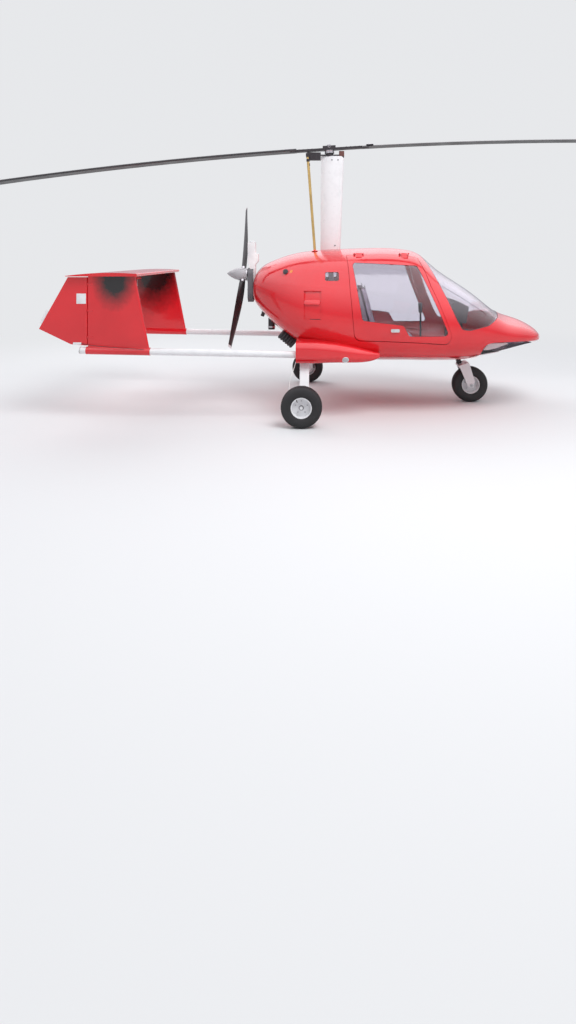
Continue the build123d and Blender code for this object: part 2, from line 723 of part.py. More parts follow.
trailing_x = min(x for x, z in RUDDER)
with BuildPart() as rudder:
    with BuildSketch(side(BOOM_Y)):
        Polygon(*RUDDER, align=None)
    extrude(amount=FIN_THICK / 2, both=True)
    with BuildSketch(Plane.XY.offset(700)):
        with BuildLine():
            Polyline((RUDDER_X, BOOM_Y - FIN_THICK / 2), (RUDDER_X, BOOM_Y + FIN_THICK / 2),
                     (trailing_x, BOOM_Y + 4), (trailing_x, BOOM_Y - 4), close=True)
        make_face()
    extrude(amount=900, mode=Mode.INTERSECT)
    with BuildSketch(Plane.XY.offset(RUDDER[-1][1])):
        with Locations((RUDDER_X, BOOM_Y)):
            Circle(FIN_THICK / 2)
    extrude(amount=RUDDER[0][1] - RUDDER[-1][1])
write_pair("rudder", rudder.part)

with BuildPart() as stabiliser:
    with BuildSketch(side(0)):
        with BuildLine():
            Line((-2690, TAIL_TOP_Z), (-1990, TAIL_TOP_Z))
            ThreePointArc((-1990, TAIL_TOP_Z), (-1960, TAIL_TOP_Z + 14), (-1985, TAIL_TOP_Z + 28))
            ThreePointArc((-1985, TAIL_TOP_Z + 28), (-2150, TAIL_TOP_Z + 36), (-2690, TAIL_TOP_Z + 6))
            Line((-2690, TAIL_TOP_Z + 6), (-2690, TAIL_TOP_Z))
        make_face()
    extrude(amount=950, both=True)
write("stabiliser", stabiliser.part)

# Nose gear

with BuildPart() as nose_strut:
    with BuildSketch(STEERING.offset(90)):
        Circle(STRUT_R)
    extrude(amount=-150)
    with BuildSketch(STEERING.offset(90)):
        Circle(STEM_R + BEARING_GAP)
    extrude(amount=-150, mode=Mode.SUBTRACT)
write("nose_strut", nose_strut.part)

with BuildPart() as nose_fork:
    with BuildSketch(STEERING.offset(85)):
        Circle(STEM_R)
    extrude(amount=-160)
    with BuildSketch(STEERING.offset(-66)):
        with Locations((30, 0)):
            Rectangle(120, 2 * FORK_Y + 12)
    extrude(amount=-20)
    for y in (-FORK_Y, FORK_Y):
        with BuildSketch(side(y)):
            Polygon(*FORK_ARM, align=None)
            with Locations((NOSE_AXLE_X, AXLE_Z)):
                Circle(FORK_BOSS_R)
        extrude(amount=6, both=True)
    with BuildSketch(side(FORK_Y)):
        with Locations((NOSE_AXLE_X, AXLE_Z)):
            Circle(AXLE_R)
    extrude(amount=2 * FORK_Y)
    with BuildSketch(side(FORK_Y + 10)):
        with Locations((NOSE_AXLE_X, AXLE_Z)):
            Circle(TOW_BORE_R)
    extrude(amount=2 * FORK_Y + 20, mode=Mode.SUBTRACT)
write("nose_fork", nose_fork.part)

# Wheels

for name, x, y in (("right", MAIN_AXLE_X, -TRACK_HALF), ("left", MAIN_AXLE_X, TRACK_HALF), ("nose", NOSE_AXLE_X, 0)):
    axle = Axis((x, y, AXLE_Z), (0, 1, 0))
    for piece, profile in (("tyre", TYRE_PROFILE), ("rim", RIM_PROFILE)):
        with BuildPart() as ring:
            with BuildSketch(Plane(origin=(x, y, AXLE_Z), x_dir=(0, 1, 0), z_dir=(1, 0, 0))):
                with BuildLine():
                    Polyline(*profile, *[(-offset, radius) for offset, radius in reversed(profile)], close=True)
                make_face()
            revolve(axis=axle)
        write(f"{piece}_{name}", ring.part)

# Nose lamp

with BuildPart() as chin_lamp:
    with BuildSketch(side(0)):
        Polygon(*LAMP_BOX, align=None)
    extrude(amount=CHIN_HALF_WIDTH - 5, both=True)
    add(pod_tub.part, mode=Mode.SUBTRACT)
write("chin_lamp", chin_lamp.part)
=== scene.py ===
"""Looks of the red two-seat cabin gyrocopter, in metres. +X is forward, +Y is port, +Z is up."""

import math

import bmesh
import bpy
from mathutils import Matrix, Vector


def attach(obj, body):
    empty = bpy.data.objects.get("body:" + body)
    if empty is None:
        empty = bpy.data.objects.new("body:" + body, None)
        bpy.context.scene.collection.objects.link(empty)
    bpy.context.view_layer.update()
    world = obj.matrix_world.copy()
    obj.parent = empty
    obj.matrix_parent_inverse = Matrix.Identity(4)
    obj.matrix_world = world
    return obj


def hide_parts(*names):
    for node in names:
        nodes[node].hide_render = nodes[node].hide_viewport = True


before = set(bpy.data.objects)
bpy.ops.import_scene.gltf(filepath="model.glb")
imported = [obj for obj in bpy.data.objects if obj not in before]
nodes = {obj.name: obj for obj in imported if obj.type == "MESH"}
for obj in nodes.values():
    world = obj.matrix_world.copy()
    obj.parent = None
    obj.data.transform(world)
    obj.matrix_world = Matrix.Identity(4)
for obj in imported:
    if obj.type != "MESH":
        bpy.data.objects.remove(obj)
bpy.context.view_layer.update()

# The photograph's camera: level, off the starboard side
IMAGE_W, IMAGE_H = 576, 1024
FOCAL_PIXELS = 645.0
EYE_COLUMN, EYE_ROW = 325.0, 255.0
EYE = Vector((-0.05, -7.5, 1.70))
SENSOR = 36.0

# Places that the frame's solids have
HUB_Z, DISC_TILT = 2.923, math.radians(3.6)
PROP_AT, PROP_TILT = Vector((-1.0, 0.0, 1.477)), math.radians(3.0)
BOOM_Y = 0.87
BOOM_FRONT, BOOM_REAR = Vector((-0.1, 0, 0.671)), Vector((-2.573, 0, 0.722))
BOOM_RUN = (BOOM_REAR - BOOM_FRONT).normalized()
RUDDER_X = -2.505
AXLE_Z, MAIN_X, NOSE_X, TRACK = 0.204, -0.282, 1.63, 1.15
WHEELS = {"right": (MAIN_X, -TRACK), "left": (MAIN_X, TRACK), "nose": (NOSE_X, 0.0)}
STEER_AT, STEER_TILT = Vector((1.493, 0, 0.5)), math.radians(18)
COWL_SEAM_X = -0.0825
SIDES = {"right": -1, "left": 1}
UP, DOWN = Vector((0, 0, 1)), Vector((0, 0, -1))
AHEAD, STARBOARD = Vector((1, 0, 0)), Vector((0, -1, 0))

RED = (0.72, 0.014, 0.022, 1)
RED_DEEP = (0.60, 0.009, 0.016, 1)
# Near black of a soft dark patch on the fins' tops, under the stabiliser
DARK_PATCH = (0.008, 0.006, 0.007, 1)
WHITE = (0.80, 0.80, 0.82, 1)
BLACK = (0.012, 0.012, 0.013, 1)
BACKDROP = (0.80, 0.81, 0.83, 1)


# Materials

def feed(tree, node, inputs):
    """Give a node's inputs, by name or number, plain values or other nodes' outputs."""
    for place, value in inputs.items():
        if isinstance(value, bpy.types.NodeSocket):
            tree.links.new(value, node.inputs[place])
        else:
            node.inputs[place].default_value = value


def add_node(tree, kind, inputs=None):
    """A new node, its inputs fed."""
    node = tree.nodes.new(kind)
    feed(tree, node, inputs or {})
    return node


def add_math(tree, operation, *inputs, kind="ShaderNodeMath"):
    """A math node on these inputs."""
    node = tree.nodes.new(kind)
    node.operation = operation
    feed(tree, node, dict(enumerate(inputs)))
    return node


def new_material(name, colour, roughness, metallic=0.0, finish=None):
    """A fresh principled material with its plain values set."""
    material = bpy.data.materials.new(name)
    material.use_nodes = True
    tree = material.node_tree
    shader = tree.nodes["Principled BSDF"]
    feed(tree, shader, {"Base Color": colour, "Roughness": roughness, "Metallic": metallic,
                        **(finish or {})})
    return material, tree, shader


def add_noise(tree, scale, detail, stretch=(1, 1, 1)):
    """Noise in the piece's own coordinates."""
    place = add_node(tree, "ShaderNodeTexCoord").outputs["Object"]
    mapping = add_node(tree, "ShaderNodeMapping", {"Scale": stretch, "Vector": place})
    noise = add_node(tree, "ShaderNodeTexNoise",
                     {"Scale": scale, "Detail": detail, "Vector": mapping.outputs["Vector"]})
    return noise.outputs["Fac"]


def add_ramp(tree, source, low, high, start, end):
    """Colour that runs from low to high as the source goes from start to end."""
    ramp = add_node(tree, "ShaderNodeValToRGB", {"Fac": source})
    stops = ramp.color_ramp.elements
    stops[0].position, stops[1].position = start, end
    stops[0].color, stops[1].color = low, high
    return ramp.outputs["Color"]


def vary_colour(tree, shader, source, low, high, start, end):
    """Base colour that drifts from low to high with the source."""
    colour = add_ramp(tree, source, low, high, start, end)
    feed(tree, shader, {"Base Color": colour})
    return colour


def vary_roughness(tree, shader, source, low, high):
    """Roughness that drifts from low to high with the source."""
    spread = add_node(tree, "ShaderNodeMapRange", {"Value": source, "From Min": 0.3,
                                                   "From Max": 0.7, "To Min": low, "To Max": high})
    feed(tree, shader, {"Roughness": spread.outputs["Result"]})


def add_bump(tree, shader, source, strength, distance):
    """Surface relief from the source."""
    bump = add_node(tree, "ShaderNodeBump",
                    {"Strength": strength, "Distance": distance, "Height": source})
    feed(tree, shader, {"Normal": bump.outputs["Normal"]})


def add_distance(tree, centre, scale=(1, 1, 1)):
    """How far a point of the piece lies from a centre, with each axis stretched by scale."""
    kind = "ShaderNodeVectorMath"
    place = add_node(tree, "ShaderNodeTexCoord").outputs["Object"]
    shift = add_math(tree, "SUBTRACT", place, centre, kind=kind)
    stretch = add_math(tree, "MULTIPLY", shift.outputs["Vector"], scale, kind=kind)
    return add_math(tree, "LENGTH", stretch.outputs["Vector"], kind=kind).outputs["Value"]


def blend_colours(tree, factor, first, second):
    """Mix between two colours, each plain or another node's output."""
    mix = tree.nodes.new("ShaderNodeMix")
    mix.data_type = "RGBA"
    feed(tree, mix, {0: factor, 6: first, 7: second})
    return mix.outputs[2]


def shifted(colour, factor, lift=0.0):
    """A darker or paler tone of a colour."""
    return tuple(min(1, c * factor + lift) for c in colour[:3]) + (1,)


def make_gelcoat(name="red_gelcoat", fade=None, tight=None):
    """Red polished gelcoat. fade and tight: the centre of a soft dark patch in the colour, and its
    thinning out.
    """
    material, tree, shader = new_material(name, RED, 0.16,
                                          finish={"Coat Weight": 0.5, "Coat Roughness": 0.05})
    colour = vary_colour(tree, shader, add_noise(tree, 1.6, 4), RED_DEEP, RED, 0.25, 0.6)
    if fade:
        ragged = add_math(tree, "MULTIPLY_ADD", add_noise(tree, 22, 6), 0.22,
                          add_distance(tree, fade, tight))
        shade = add_ramp(tree, ragged.outputs[0], (1, 1, 1, 1), (0, 0, 0, 1), 0.45, 1.05)
        feed(tree, shader, {"Base Color": blend_colours(tree, shade, colour, DARK_PATCH)})
    vary_roughness(tree, shader, add_noise(tree, 9, 6), 0.13, 0.24)
    add_bump(tree, shader, add_noise(tree, 14, 2), 0.2, 0.001)
    return material


def make_enamel(name, colour, roughness=0.3):
    """Sprayed enamel with slight orange peel and handling marks."""
    material, tree, shader = new_material(name, colour, roughness,
                                          finish={"Coat Weight": 0.3, "Coat Roughness": 0.12})
    grime = add_noise(tree, 11, 8)
    vary_colour(tree, shader, grime, shifted(colour, 0.93), colour, 0.3, 0.5)
    vary_roughness(tree, shader, grime, roughness + 0.1, roughness - 0.04)
    add_bump(tree, shader, add_noise(tree, 260, 2), 0.12, 0.0006)
    return material


def make_glass(name, tint, haze_low, haze_high):
    """Tinted acrylic, faintly hazed."""
    material, tree, shader = new_material(name, tint, 0.03,
                                          finish={"Transmission Weight": 1.0, "IOR": 1.49})
    vary_roughness(tree, shader, add_noise(tree, 12, 5), haze_low, haze_high)
    return material


def make_metal(name, colour, roughness, metallic=1.0):
    """Bare or plated metal with a drawn grain."""
    material, tree, shader = new_material(name, colour, roughness, metallic)
    scratch = add_noise(tree, 60, 6, (1, 1, 0.15))
    vary_colour(tree, shader, scratch, shifted(colour, 0.8), colour, 0.3, 0.6)
    vary_roughness(tree, shader, scratch, roughness - 0.07, roughness + 0.12)
    add_bump(tree, shader, scratch, 0.1, 0.0004)
    return material


def make_moulding(name, colour, roughness, coarse=180, depth=0.0008):
    """Moulded plastic or rubber with a fine grain."""
    material, tree, shader = new_material(name, colour, roughness)
    drift = add_noise(tree, 5, 5)
    vary_colour(tree, shader, drift, colour, shifted(colour, 1.5, 0.006), 0.4, 0.75)
    vary_roughness(tree, shader, drift, roughness - 0.06, roughness + 0.1)
    add_bump(tree, shader, add_noise(tree, coarse, 4), 0.35, depth)
    return material


def make_prop_skin():
    """Black moulded blades with a narrow pale band at each tip."""
    material, tree, shader = new_material("prop_skin", BLACK, 0.3)
    drift = add_noise(tree, 6, 5)
    body = add_ramp(tree, drift, BLACK, (0.028, 0.028, 0.03, 1), 0.4, 0.75)
    band = add_node(tree, "ShaderNodeMapRange", {"Value": add_distance(tree, PROP_AT),
                                                 "From Min": 0.879, "From Max": 0.881})
    colour = blend_colours(tree, band.outputs["Result"], body, (0.7, 0.7, 0.72, 1))
    feed(tree, shader, {"Base Color": colour})
    vary_roughness(tree, shader, drift, 0.24, 0.4)
    return material


def make_weave(name, colour, pitch):
    """Woven cloth or webbing: two crossed waves raise the threads."""
    material, tree, shader = new_material(name, colour, 0.85, finish={"Sheen Weight": 0.3})
    place = add_node(tree, "ShaderNodeTexCoord").outputs["Object"]
    threads = []
    for axis in ("X", "Z"):
        wave = add_node(tree, "ShaderNodeTexWave",
                        {"Scale": pitch, "Distortion": 0.6, "Vector": place})
        wave.bands_direction = axis
        threads.append(wave.outputs["Fac"])
    cross = add_math(tree, "MULTIPLY", *threads)
    vary_colour(tree, shader, add_noise(tree, 8, 5), colour, shifted(colour, 1.6, 0.01), 0.4, 0.7)
    add_bump(tree, shader, cross.outputs[0], 0.5, 0.0012)
    return material


RED_GELCOAT = make_gelcoat()
# The fins darken in a soft patch near their tops, under the stabiliser: broad on the right fin,
# tight on the left
BROAD_PATCH_GELCOAT = make_gelcoat("broad_patch_gelcoat", (-2.21, 0.0, 1.44), (3.6, 0.0, 2.7))
TIGHT_PATCH_GELCOAT = make_gelcoat("tight_patch_gelcoat", (-2.26, 0.0, 1.50), (2.0, 0.0, 1.5))
WHITE_ENAMEL = make_enamel("white_enamel", WHITE)
TINTED_ACRYLIC = make_glass("tinted_acrylic", (0.86, 0.84, 0.90, 1), 0.01, 0.05)
SMOKED_ACRYLIC = make_glass("smoked_acrylic", (0.16, 0.14, 0.18, 1), 0.03, 0.10)
CLEAR_LENS = make_glass("clear_lens", (0.93, 0.94, 0.95, 1), 0.02, 0.06)
DARK_TRIM = make_moulding("dark_trim", (0.03, 0.03, 0.033, 1), 0.6)
SEAT_CLOTH = make_weave("seat_cloth", (0.50, 0.47, 0.54, 1), 260)
SEAT_SHELL = make_moulding("seat_shell", (0.46, 0.44, 0.49, 1), 0.5)
BELT_WEBBING = make_weave("belt_webbing", (0.05, 0.05, 0.06, 1), 420)
BLADE_SKIN = make_moulding("blade_skin", (0.03, 0.03, 0.033, 1), 0.42, 90)
PROP_SKIN = make_prop_skin()
SPINNER_SKIN = make_enamel("spinner_skin", (0.40, 0.39, 0.41, 1), 0.35)
TANK_SKIN = make_moulding("tank_skin", (0.72, 0.72, 0.74, 1), 0.45)
RUBBER = make_moulding("tyre_rubber", BLACK, 0.7, 120, 0.0015)
SEAL_RUBBER = make_moulding("seal_rubber", (0.02, 0.02, 0.022, 1), 0.55)
WHEEL_ENAMEL = make_enamel("wheel_enamel", (0.76, 0.76, 0.78, 1), 0.35)
GREY_CAP = make_moulding("grey_cap", (0.36, 0.35, 0.34, 1), 0.5)
ORANGE_TAG = make_enamel("orange_tag", (0.75, 0.22, 0.03, 1), 0.4)
CHROME = make_metal("chrome", (0.8, 0.8, 0.82, 1), 0.12)
YELLOW_ZINC = make_metal("yellow_zinc", (0.74, 0.52, 0.20, 1), 0.35)
BRIGHT_STEEL = make_metal("bright_steel", (0.55, 0.55, 0.57, 1), 0.3)
DARK_STEEL = make_metal("dark_steel", (0.06, 0.055, 0.06, 1), 0.45, 0.7)
BROWN_STEEL = make_metal("brown_steel", (0.16, 0.07, 0.06, 1), 0.5, 0.5)
CAST_ALLOY = make_metal("cast_alloy", (0.16, 0.16, 0.17, 1), 0.55, 0.8)
DIAL_FACE = make_moulding("dial_face", (0.01, 0.01, 0.011, 1), 0.4)
PALE_MARK = make_moulding("pale_mark", (0.75, 0.75, 0.72, 1), 0.6)
PALE_HOSE = make_moulding("pale_hose", (0.62, 0.60, 0.60, 1), 0.5)


def pairs(*stems):
    """The right and left nodes of these names."""
    return [f"{stem}_{side}" for stem in stems for side in SIDES]


FINISHES = {
    RED_GELCOAT: ["pod_tub", "pod_upper", "engine_cowl", "stabiliser",
                  *pairs("door", "sponson", "rudder")],
    BROAD_PATCH_GELCOAT: ["fin_right"],
    TIGHT_PATCH_GELCOAT: ["fin_left"],
    TINTED_ACRYLIC: ["windscreen", "side_windows", *pairs("door_window")],
    WHITE_ENAMEL: ["mast", "gear_beam", "nose_fork", "chin_lamp", *pairs("boom", "gear_leg")],
    DARK_TRIM: ["cabin_floor", "firewall", "instrument_panel", "control_stick", "air_duct"],
    SEAT_CLOTH: ["seats"],
    BLADE_SKIN: ["rotor_blade_front", "rotor_blade_rear"],
    DARK_STEEL: ["rotor_head", "rotor_hub", "nose_strut", "exhaust"],
    YELLOW_ZINC: ["push_rods"],
    CAST_ALLOY: ["engine", "redrive"],
    TANK_SKIN: ["coolant_tank"],
    SPINNER_SKIN: ["prop_hub"],
    PROP_SKIN: ["prop_blades"],
    RUBBER: [f"tyre_{name}" for name in WHEELS],
    WHEEL_ENAMEL: [f"rim_{name}" for name in WHEELS],
    CHROME: pairs("door_handle"),
}
for finish, names in FINISHES.items():
    for name in names:
        nodes[name].data.materials.clear()
        nodes[name].data.materials.append(finish)


# Modelling helpers

def take(*pieces):
    """Leave edit mode and select these pieces alone, or nothing. The first becomes active."""
    if bpy.context.mode != "OBJECT":
        bpy.ops.object.mode_set(mode="OBJECT")
    bpy.ops.object.select_all(action="DESELECT")
    for piece in pieces:
        piece.select_set(True)
    if pieces:
        bpy.context.view_layer.objects.active = pieces[0]


def open_edit(piece, action="SELECT"):
    """Edit this piece alone, with all of it selected or nothing."""
    take(piece)
    bpy.ops.object.mode_set(mode="EDIT")
    bpy.ops.mesh.select_all(action=action)


def pick(piece, test, edges=False):
    """In edit mode, select the faces, or edges, whose middle and direction pass the test."""
    mesh = bmesh.from_edit_mesh(piece.data)
    bpy.ops.mesh.select_all(action="DESELECT")
    for part in mesh.edges if edges else mesh.faces:
        if edges:
            a, b = part.verts[0].co, part.verts[1].co
            middle, way = (a + b) / 2, (b - a).normalized()
        else:
            middle, way = part.calc_center_median(), part.normal
        if test(middle, way):
            part.select_set(True)
    mesh.select_flush_mode()
    bmesh.update_edit_mesh(piece.data)


def settle(piece, place, direction=None, axes=None):
    """Apply a piece's place to its mesh, its +Z along the direction or its own axes along axes."""
    take(piece)
    if direction is not None or axes:
        piece.rotation_mode = "QUATERNION"
        piece.rotation_quaternion = (Matrix(axes).transposed().to_quaternion() if axes
                                     else Vector(direction).to_track_quat("Z", "Y"))
    piece.location = place
    bpy.ops.object.transform_apply(location=True, rotation=True, scale=True)
    piece.rotation_mode = "XYZ"
    return piece


def dress(piece, material, body="airframe", sharp=32):
    """Give a finished piece its material, shading and body."""
    take(piece)
    piece.data.materials.clear()
    piece.data.materials.append(material)
    bpy.ops.object.shade_smooth_by_angle(angle=math.radians(sharp))
    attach(piece, body)
    return piece


def right_way_out(piece):
    """Merge doubles and turn every face outwards."""
    open_edit(piece)
    bpy.ops.mesh.remove_doubles(threshold=0.00001)
    bpy.ops.mesh.normals_make_consistent(inside=False)
    bpy.ops.object.mode_set(mode="OBJECT")
    return piece


def lathe(name, rings, fill, sides, place, direction):
    """A wall extruded through rings of (distance along the axis, radius)."""
    take()
    bpy.ops.mesh.primitive_circle_add(vertices=sides, radius=rings[0][1], fill_type=fill,
                                      location=(0, 0, rings[0][0]))
    piece = bpy.context.object
    piece.name = name
    bpy.ops.object.transform_apply(location=True, rotation=False, scale=False)
    open_edit(piece)
    bpy.ops.mesh.select_mode(type="VERT")
    for (along, radius), (along_next, radius_next) in zip(rings, rings[1:]):
        bpy.ops.mesh.extrude_region_move(
            TRANSFORM_OT_translate={"value": (0, 0, along_next - along)})
        ratio = radius_next / radius
        bpy.ops.transform.resize(value=(ratio, ratio, 1), center_override=(0, 0, along_next))
    return settle(right_way_out(piece), place, direction)


def turned(name, rings, place, direction, sides=32):
    """A turned piece, closed at both ends."""
    return lathe(name, rings, "NGON", sides, place, direction)


def hoop(name, rings, place, direction, sides=96):
    """A ring of revolution from a closed loop of (distance along the axis, radius)."""
    return lathe(name, [*rings, rings[0]], "NOTHING", sides, place, direction)


def plate(name, size, thick, corner, place, direction, edge=0.0):
    """A flat plate with round corners, its face to the direction and its long side level."""
    take()
    bpy.ops.mesh.primitive_plane_add(size=1)
    piece = bpy.context.object
    piece.name = name
    open_edit(piece)
    bpy.ops.transform.resize(value=(size[0], size[1], 1))
    if corner:
        bpy.ops.mesh.bevel(offset=corner, segments=4, affect="VERTICES")
    bpy.ops.mesh.select_all(action="SELECT")
    bpy.ops.mesh.extrude_region_move(TRANSFORM_OT_translate={"value": (0, 0, thick)})
    if edge:
        pick(piece, lambda middle, normal: normal.z > 0.9 and middle.z > thick / 2)
        bpy.ops.mesh.bevel(offset=edge, segments=2, affect="EDGES")
    return lay(right_way_out(piece), place, direction)


def lay(piece, place, direction):
    """Place a flat piece: its +Z to the direction, its +X level and as far forward as it goes."""
    up = Vector(direction).normalized()
    level = UP.cross(up)
    level = AHEAD if level.length < 0.05 else level.normalized()
    if level.x < 0:
        level = -level
    return settle(piece, place, axes=(level, up.cross(level), up))


def new_curve(name, kind, points):
    """A curve piece with one spline through the points."""
    take()
    bpy.ops.curve.primitive_nurbs_path_add()
    piece = bpy.context.object
    piece.name = name
    piece.data.splines.clear()
    spline = piece.data.splines.new(kind)
    spline.points.add(len(points) - 1)
    for knot, point in zip(spline.points, points):
        knot.co = (*point, 1)
    return piece, spline


def wire(name, points, radius):
    """A round wire or hose that runs smoothly through the points, closed at its ends."""
    piece, spline = new_curve(name, "NURBS", points)
    spline.order_u = 3
    spline.use_endpoint_u = True
    piece.data.bevel_depth = radius
    piece.data.bevel_resolution = 3
    piece.data.use_fill_caps = True
    bpy.ops.object.convert(target="MESH")
    return right_way_out(bpy.context.object)


def prism(name, outline, low_y, high_y, rise=0.0):
    """A block with this outline in x and z, from low_y to high_y, tipped by rise about x."""
    piece, spline = new_curve(name, "POLY", [(x, z, 0) for x, z in outline])
    spline.use_cyclic_u = True
    piece.data.dimensions = "2D"
    piece.data.fill_mode = "BOTH"
    piece.data.extrude = (high_y - low_y) / 2
    bpy.ops.object.convert(target="MESH")
    piece = bpy.context.object
    piece.rotation_euler = (math.pi / 2, 0, 0)
    settle(piece, (0, (low_y + high_y) / 2, 0))
    if rise:
        open_edit(piece)
        bpy.ops.transform.rotate(value=-rise, orient_axis="X", center_override=(0, 0, NOSE_Z))
    return right_way_out(piece)


def join(pieces, name):
    """Several meshes as one piece."""
    take(*pieces)
    if len(pieces) > 1:
        bpy.ops.object.join()
    pieces[0].name = name
    return pieces[0]


def copy_of(source, name):
    """A copy of an object, with its own mesh."""
    copy = source.copy()
    copy.data = source.data.copy()
    copy.parent = None
    copy.matrix_world = source.matrix_world.copy()
    copy.name = name
    bpy.context.scene.collection.objects.link(copy)
    return copy


def merged_copy(node, name):
    """A merged copy of a frame node, to work on."""
    copy = copy_of(nodes[node], name)
    open_edit(copy)
    bpy.ops.mesh.remove_doubles(threshold=0.00002)
    bpy.ops.object.mode_set(mode="OBJECT")
    return copy


def carve(piece, tool, operation="DIFFERENCE"):
    """Apply a boolean to the piece. The tool is used up."""
    take(piece)
    cut = piece.modifiers.new("cut", "BOOLEAN")
    cut.object = tool
    cut.operation = operation
    cut.solver = "EXACT"
    bpy.ops.object.modifier_apply(modifier="cut")
    bpy.data.objects.remove(tool, do_unlink=True)
    return piece


def skin(node, start, aim):
    """Where a line from start along aim meets a frame node, and which way it faces there."""
    found, place, normal, _ = nodes[node].ray_cast(Vector(start), Vector(aim).normalized())
    if not found:
        raise ValueError(f"no skin of {node} at {start}")
    return place, normal


def flank(node, x, z, sign, start=2.0):
    """A frame node's outer side face at x and z, met from start metres out."""
    return skin(node, (x, sign * start, z), (0, -sign, 0))


def around(first, second, angle):
    """The direction at an angle, in degrees, from first towards second."""
    turn = math.radians(angle)
    return first * math.cos(turn) + second * math.sin(turn)


def axis_point(radial, along, y=0.0):
    """A point in the rotor's disc frame: radial forward, along the spin axis above the hub."""
    return Vector((radial * math.cos(DISC_TILT) - along * math.sin(DISC_TILT), y,
                   HUB_Z + radial * math.sin(DISC_TILT) + along * math.cos(DISC_TILT)))


NOSE_Z = 0.7
DISC_UP = Vector((-math.sin(DISC_TILT), 0, math.cos(DISC_TILT)))
THRUST = Vector((-math.cos(PROP_TILT), 0, math.sin(PROP_TILT)))
BOLT =[(0, 0.008), (0.001, 0.008), (0.001, 0.0065), (0.006, 0.0065), (0.0068, 0.0055)]
DOME = [(0, 0.005), (0.0012, 0.0046), (0.0022, 0.003)]


# Pod: seals, hinges, filler and fasteners

def rim_of(node, name, radius, material, body="airframe", sunk=0.0, keep=1):
    """A round seal along a frame node's outermost edges, sunk towards the pod's middle line."""
    copy = merged_copy(node, name)
    open_edit(copy, "DESELECT")
    bpy.ops.mesh.select_mode(type="EDGE")
    bpy.ops.mesh.edges_select_sharp(sharpness=math.radians(48))
    bpy.ops.mesh.duplicate()
    bpy.ops.mesh.separate(type="SELECTED")
    bpy.ops.object.mode_set(mode="OBJECT")
    lines = [o for o in bpy.context.selected_objects if o is not copy]
    bpy.data.objects.remove(copy, do_unlink=True)
    open_edit(lines[0])
    bpy.ops.mesh.select_mode(type="VERT")
    bpy.ops.mesh.separate(type="LOOSE")
    bpy.ops.object.mode_set(mode="OBJECT")
    loops = sorted(bpy.context.selected_objects, key=rim_rank)
    for spare in loops[:-keep]:
        bpy.data.objects.remove(spare, do_unlink=True)
    seals = loops[-keep:]
    for seal in seals:
        open_edit(seal)
        bpy.ops.transform.resize(value=(1, 1 - sunk, 1 - sunk), center_override=(0, 0, 1.0))
        take(seal)
        bpy.ops.object.convert(target="CURVE")
        seal.data.bevel_depth = radius
        seal.data.bevel_resolution = 2
        bpy.ops.object.convert(target="MESH")
        right_way_out(seal)
    return dress(join(seals, name), material, body)


def rim_rank(line):
    """Length of a loop of edges, longer when it lies further from the pod's middle line."""
    points = [v.co for v in line.data.vertices]
    run = sum((points[e.vertices[0]] - points[e.vertices[1]]).length for e in line.data.edges)
    out = sum(math.hypot(p.y, p.z - 1.0) for p in points) / len(points)
    return run * (1 + out)


for side in SIDES:
    rim_of(f"door_{side}", f"door_bead_{side}", 0.0035, RED_GELCOAT, f"door_{side}", sunk=0.010)
    rim_of(f"door_window_{side}", f"door_glass_seal_{side}", 0.0032, SEAL_RUBBER, f"door_{side}")
rim_of("windscreen", "windscreen_seal", 0.0034, SEAL_RUBBER)
rim_of("side_windows", "aft_glass_seals", 0.003, SEAL_RUBBER, keep=2)

HINGE_Y, HINGE_Z, LEAF_Y, LEAF_THICK = 0.4, 1.714, 0.362, 0.003
HINGE_LUG = [(-0.009, 0.007), (-0.008, 0.008), (0.008, 0.008), (0.009, 0.007)]
for side, sign in SIDES.items():
    for place, x in (("front", 0.82), ("rear", 0.32)):
        spot, up = skin("pod_upper", (x, sign * LEAF_Y, 2.4), DOWN)
        parts = [plate("leaf", (0.118, 0.036), LEAF_THICK, 0.008, spot, up, 0.0008)]
        for step in (-0.047, 0.047):
            end = Vector((x + step, sign * HINGE_Y, HINGE_Z))
            foot = Vector((end.x, spot.y, spot.z + 0.002))
            across = AHEAD.cross(foot - end)
            head_at = spot + AHEAD * step * 0.5 + up * LEAF_THICK
            parts += [turned("lug", HINGE_LUG, end, AHEAD, 20),
                      plate("web", (0.014, (foot - end).length), 0.005, 0, (foot + end) / 2,
                            across if across.z > 0 else -across, 0.0008),
                      turned("head", DOME, head_at, up, 12)]
        dress(join(parts, f"hinge_leaf_{place}_{side}"), RED_GELCOAT)

# The filler's cup sits in the cowl's hole, level with the skin beside it
FILLER_AT, FILLER_AIM = Vector((-0.479, 0, 1.245)), Vector((0, -0.87, 0.49))
BESIDE = AHEAD * 0.045
edge_at, _ = skin("engine_cowl", FILLER_AT + BESIDE + FILLER_AIM * 1.2, -FILLER_AIM)
mouth = FILLER_AT + FILLER_AIM.normalized() * (edge_at - FILLER_AT - BESIDE).length
dress(turned("filler_cup", [(-0.03, 0.012), (-0.03, 0.0245), (0.0006, 0.0256), (0.0016, 0.0285),
                            (0.0026, 0.0285), (0.003, 0.0262)], mouth, FILLER_AIM), DARK_STEEL)
dress(turned("filler_cap", [(0.0, 0.010), (0.0032, 0.016), (0.0052, 0.016), (0.0062, 0.0145)],
             mouth, FILLER_AIM, 24), SEAL_RUBBER)
tag_at, tag_face = skin("engine_cowl", FILLER_AT + Vector((0.062, 0, -0.004)) + FILLER_AIM * 1.2,
                        -FILLER_AIM)
dress(plate("filler_tag", (0.03, 0.036), 0.0008, 0.004, tag_at, tag_face), ORANGE_TAG)

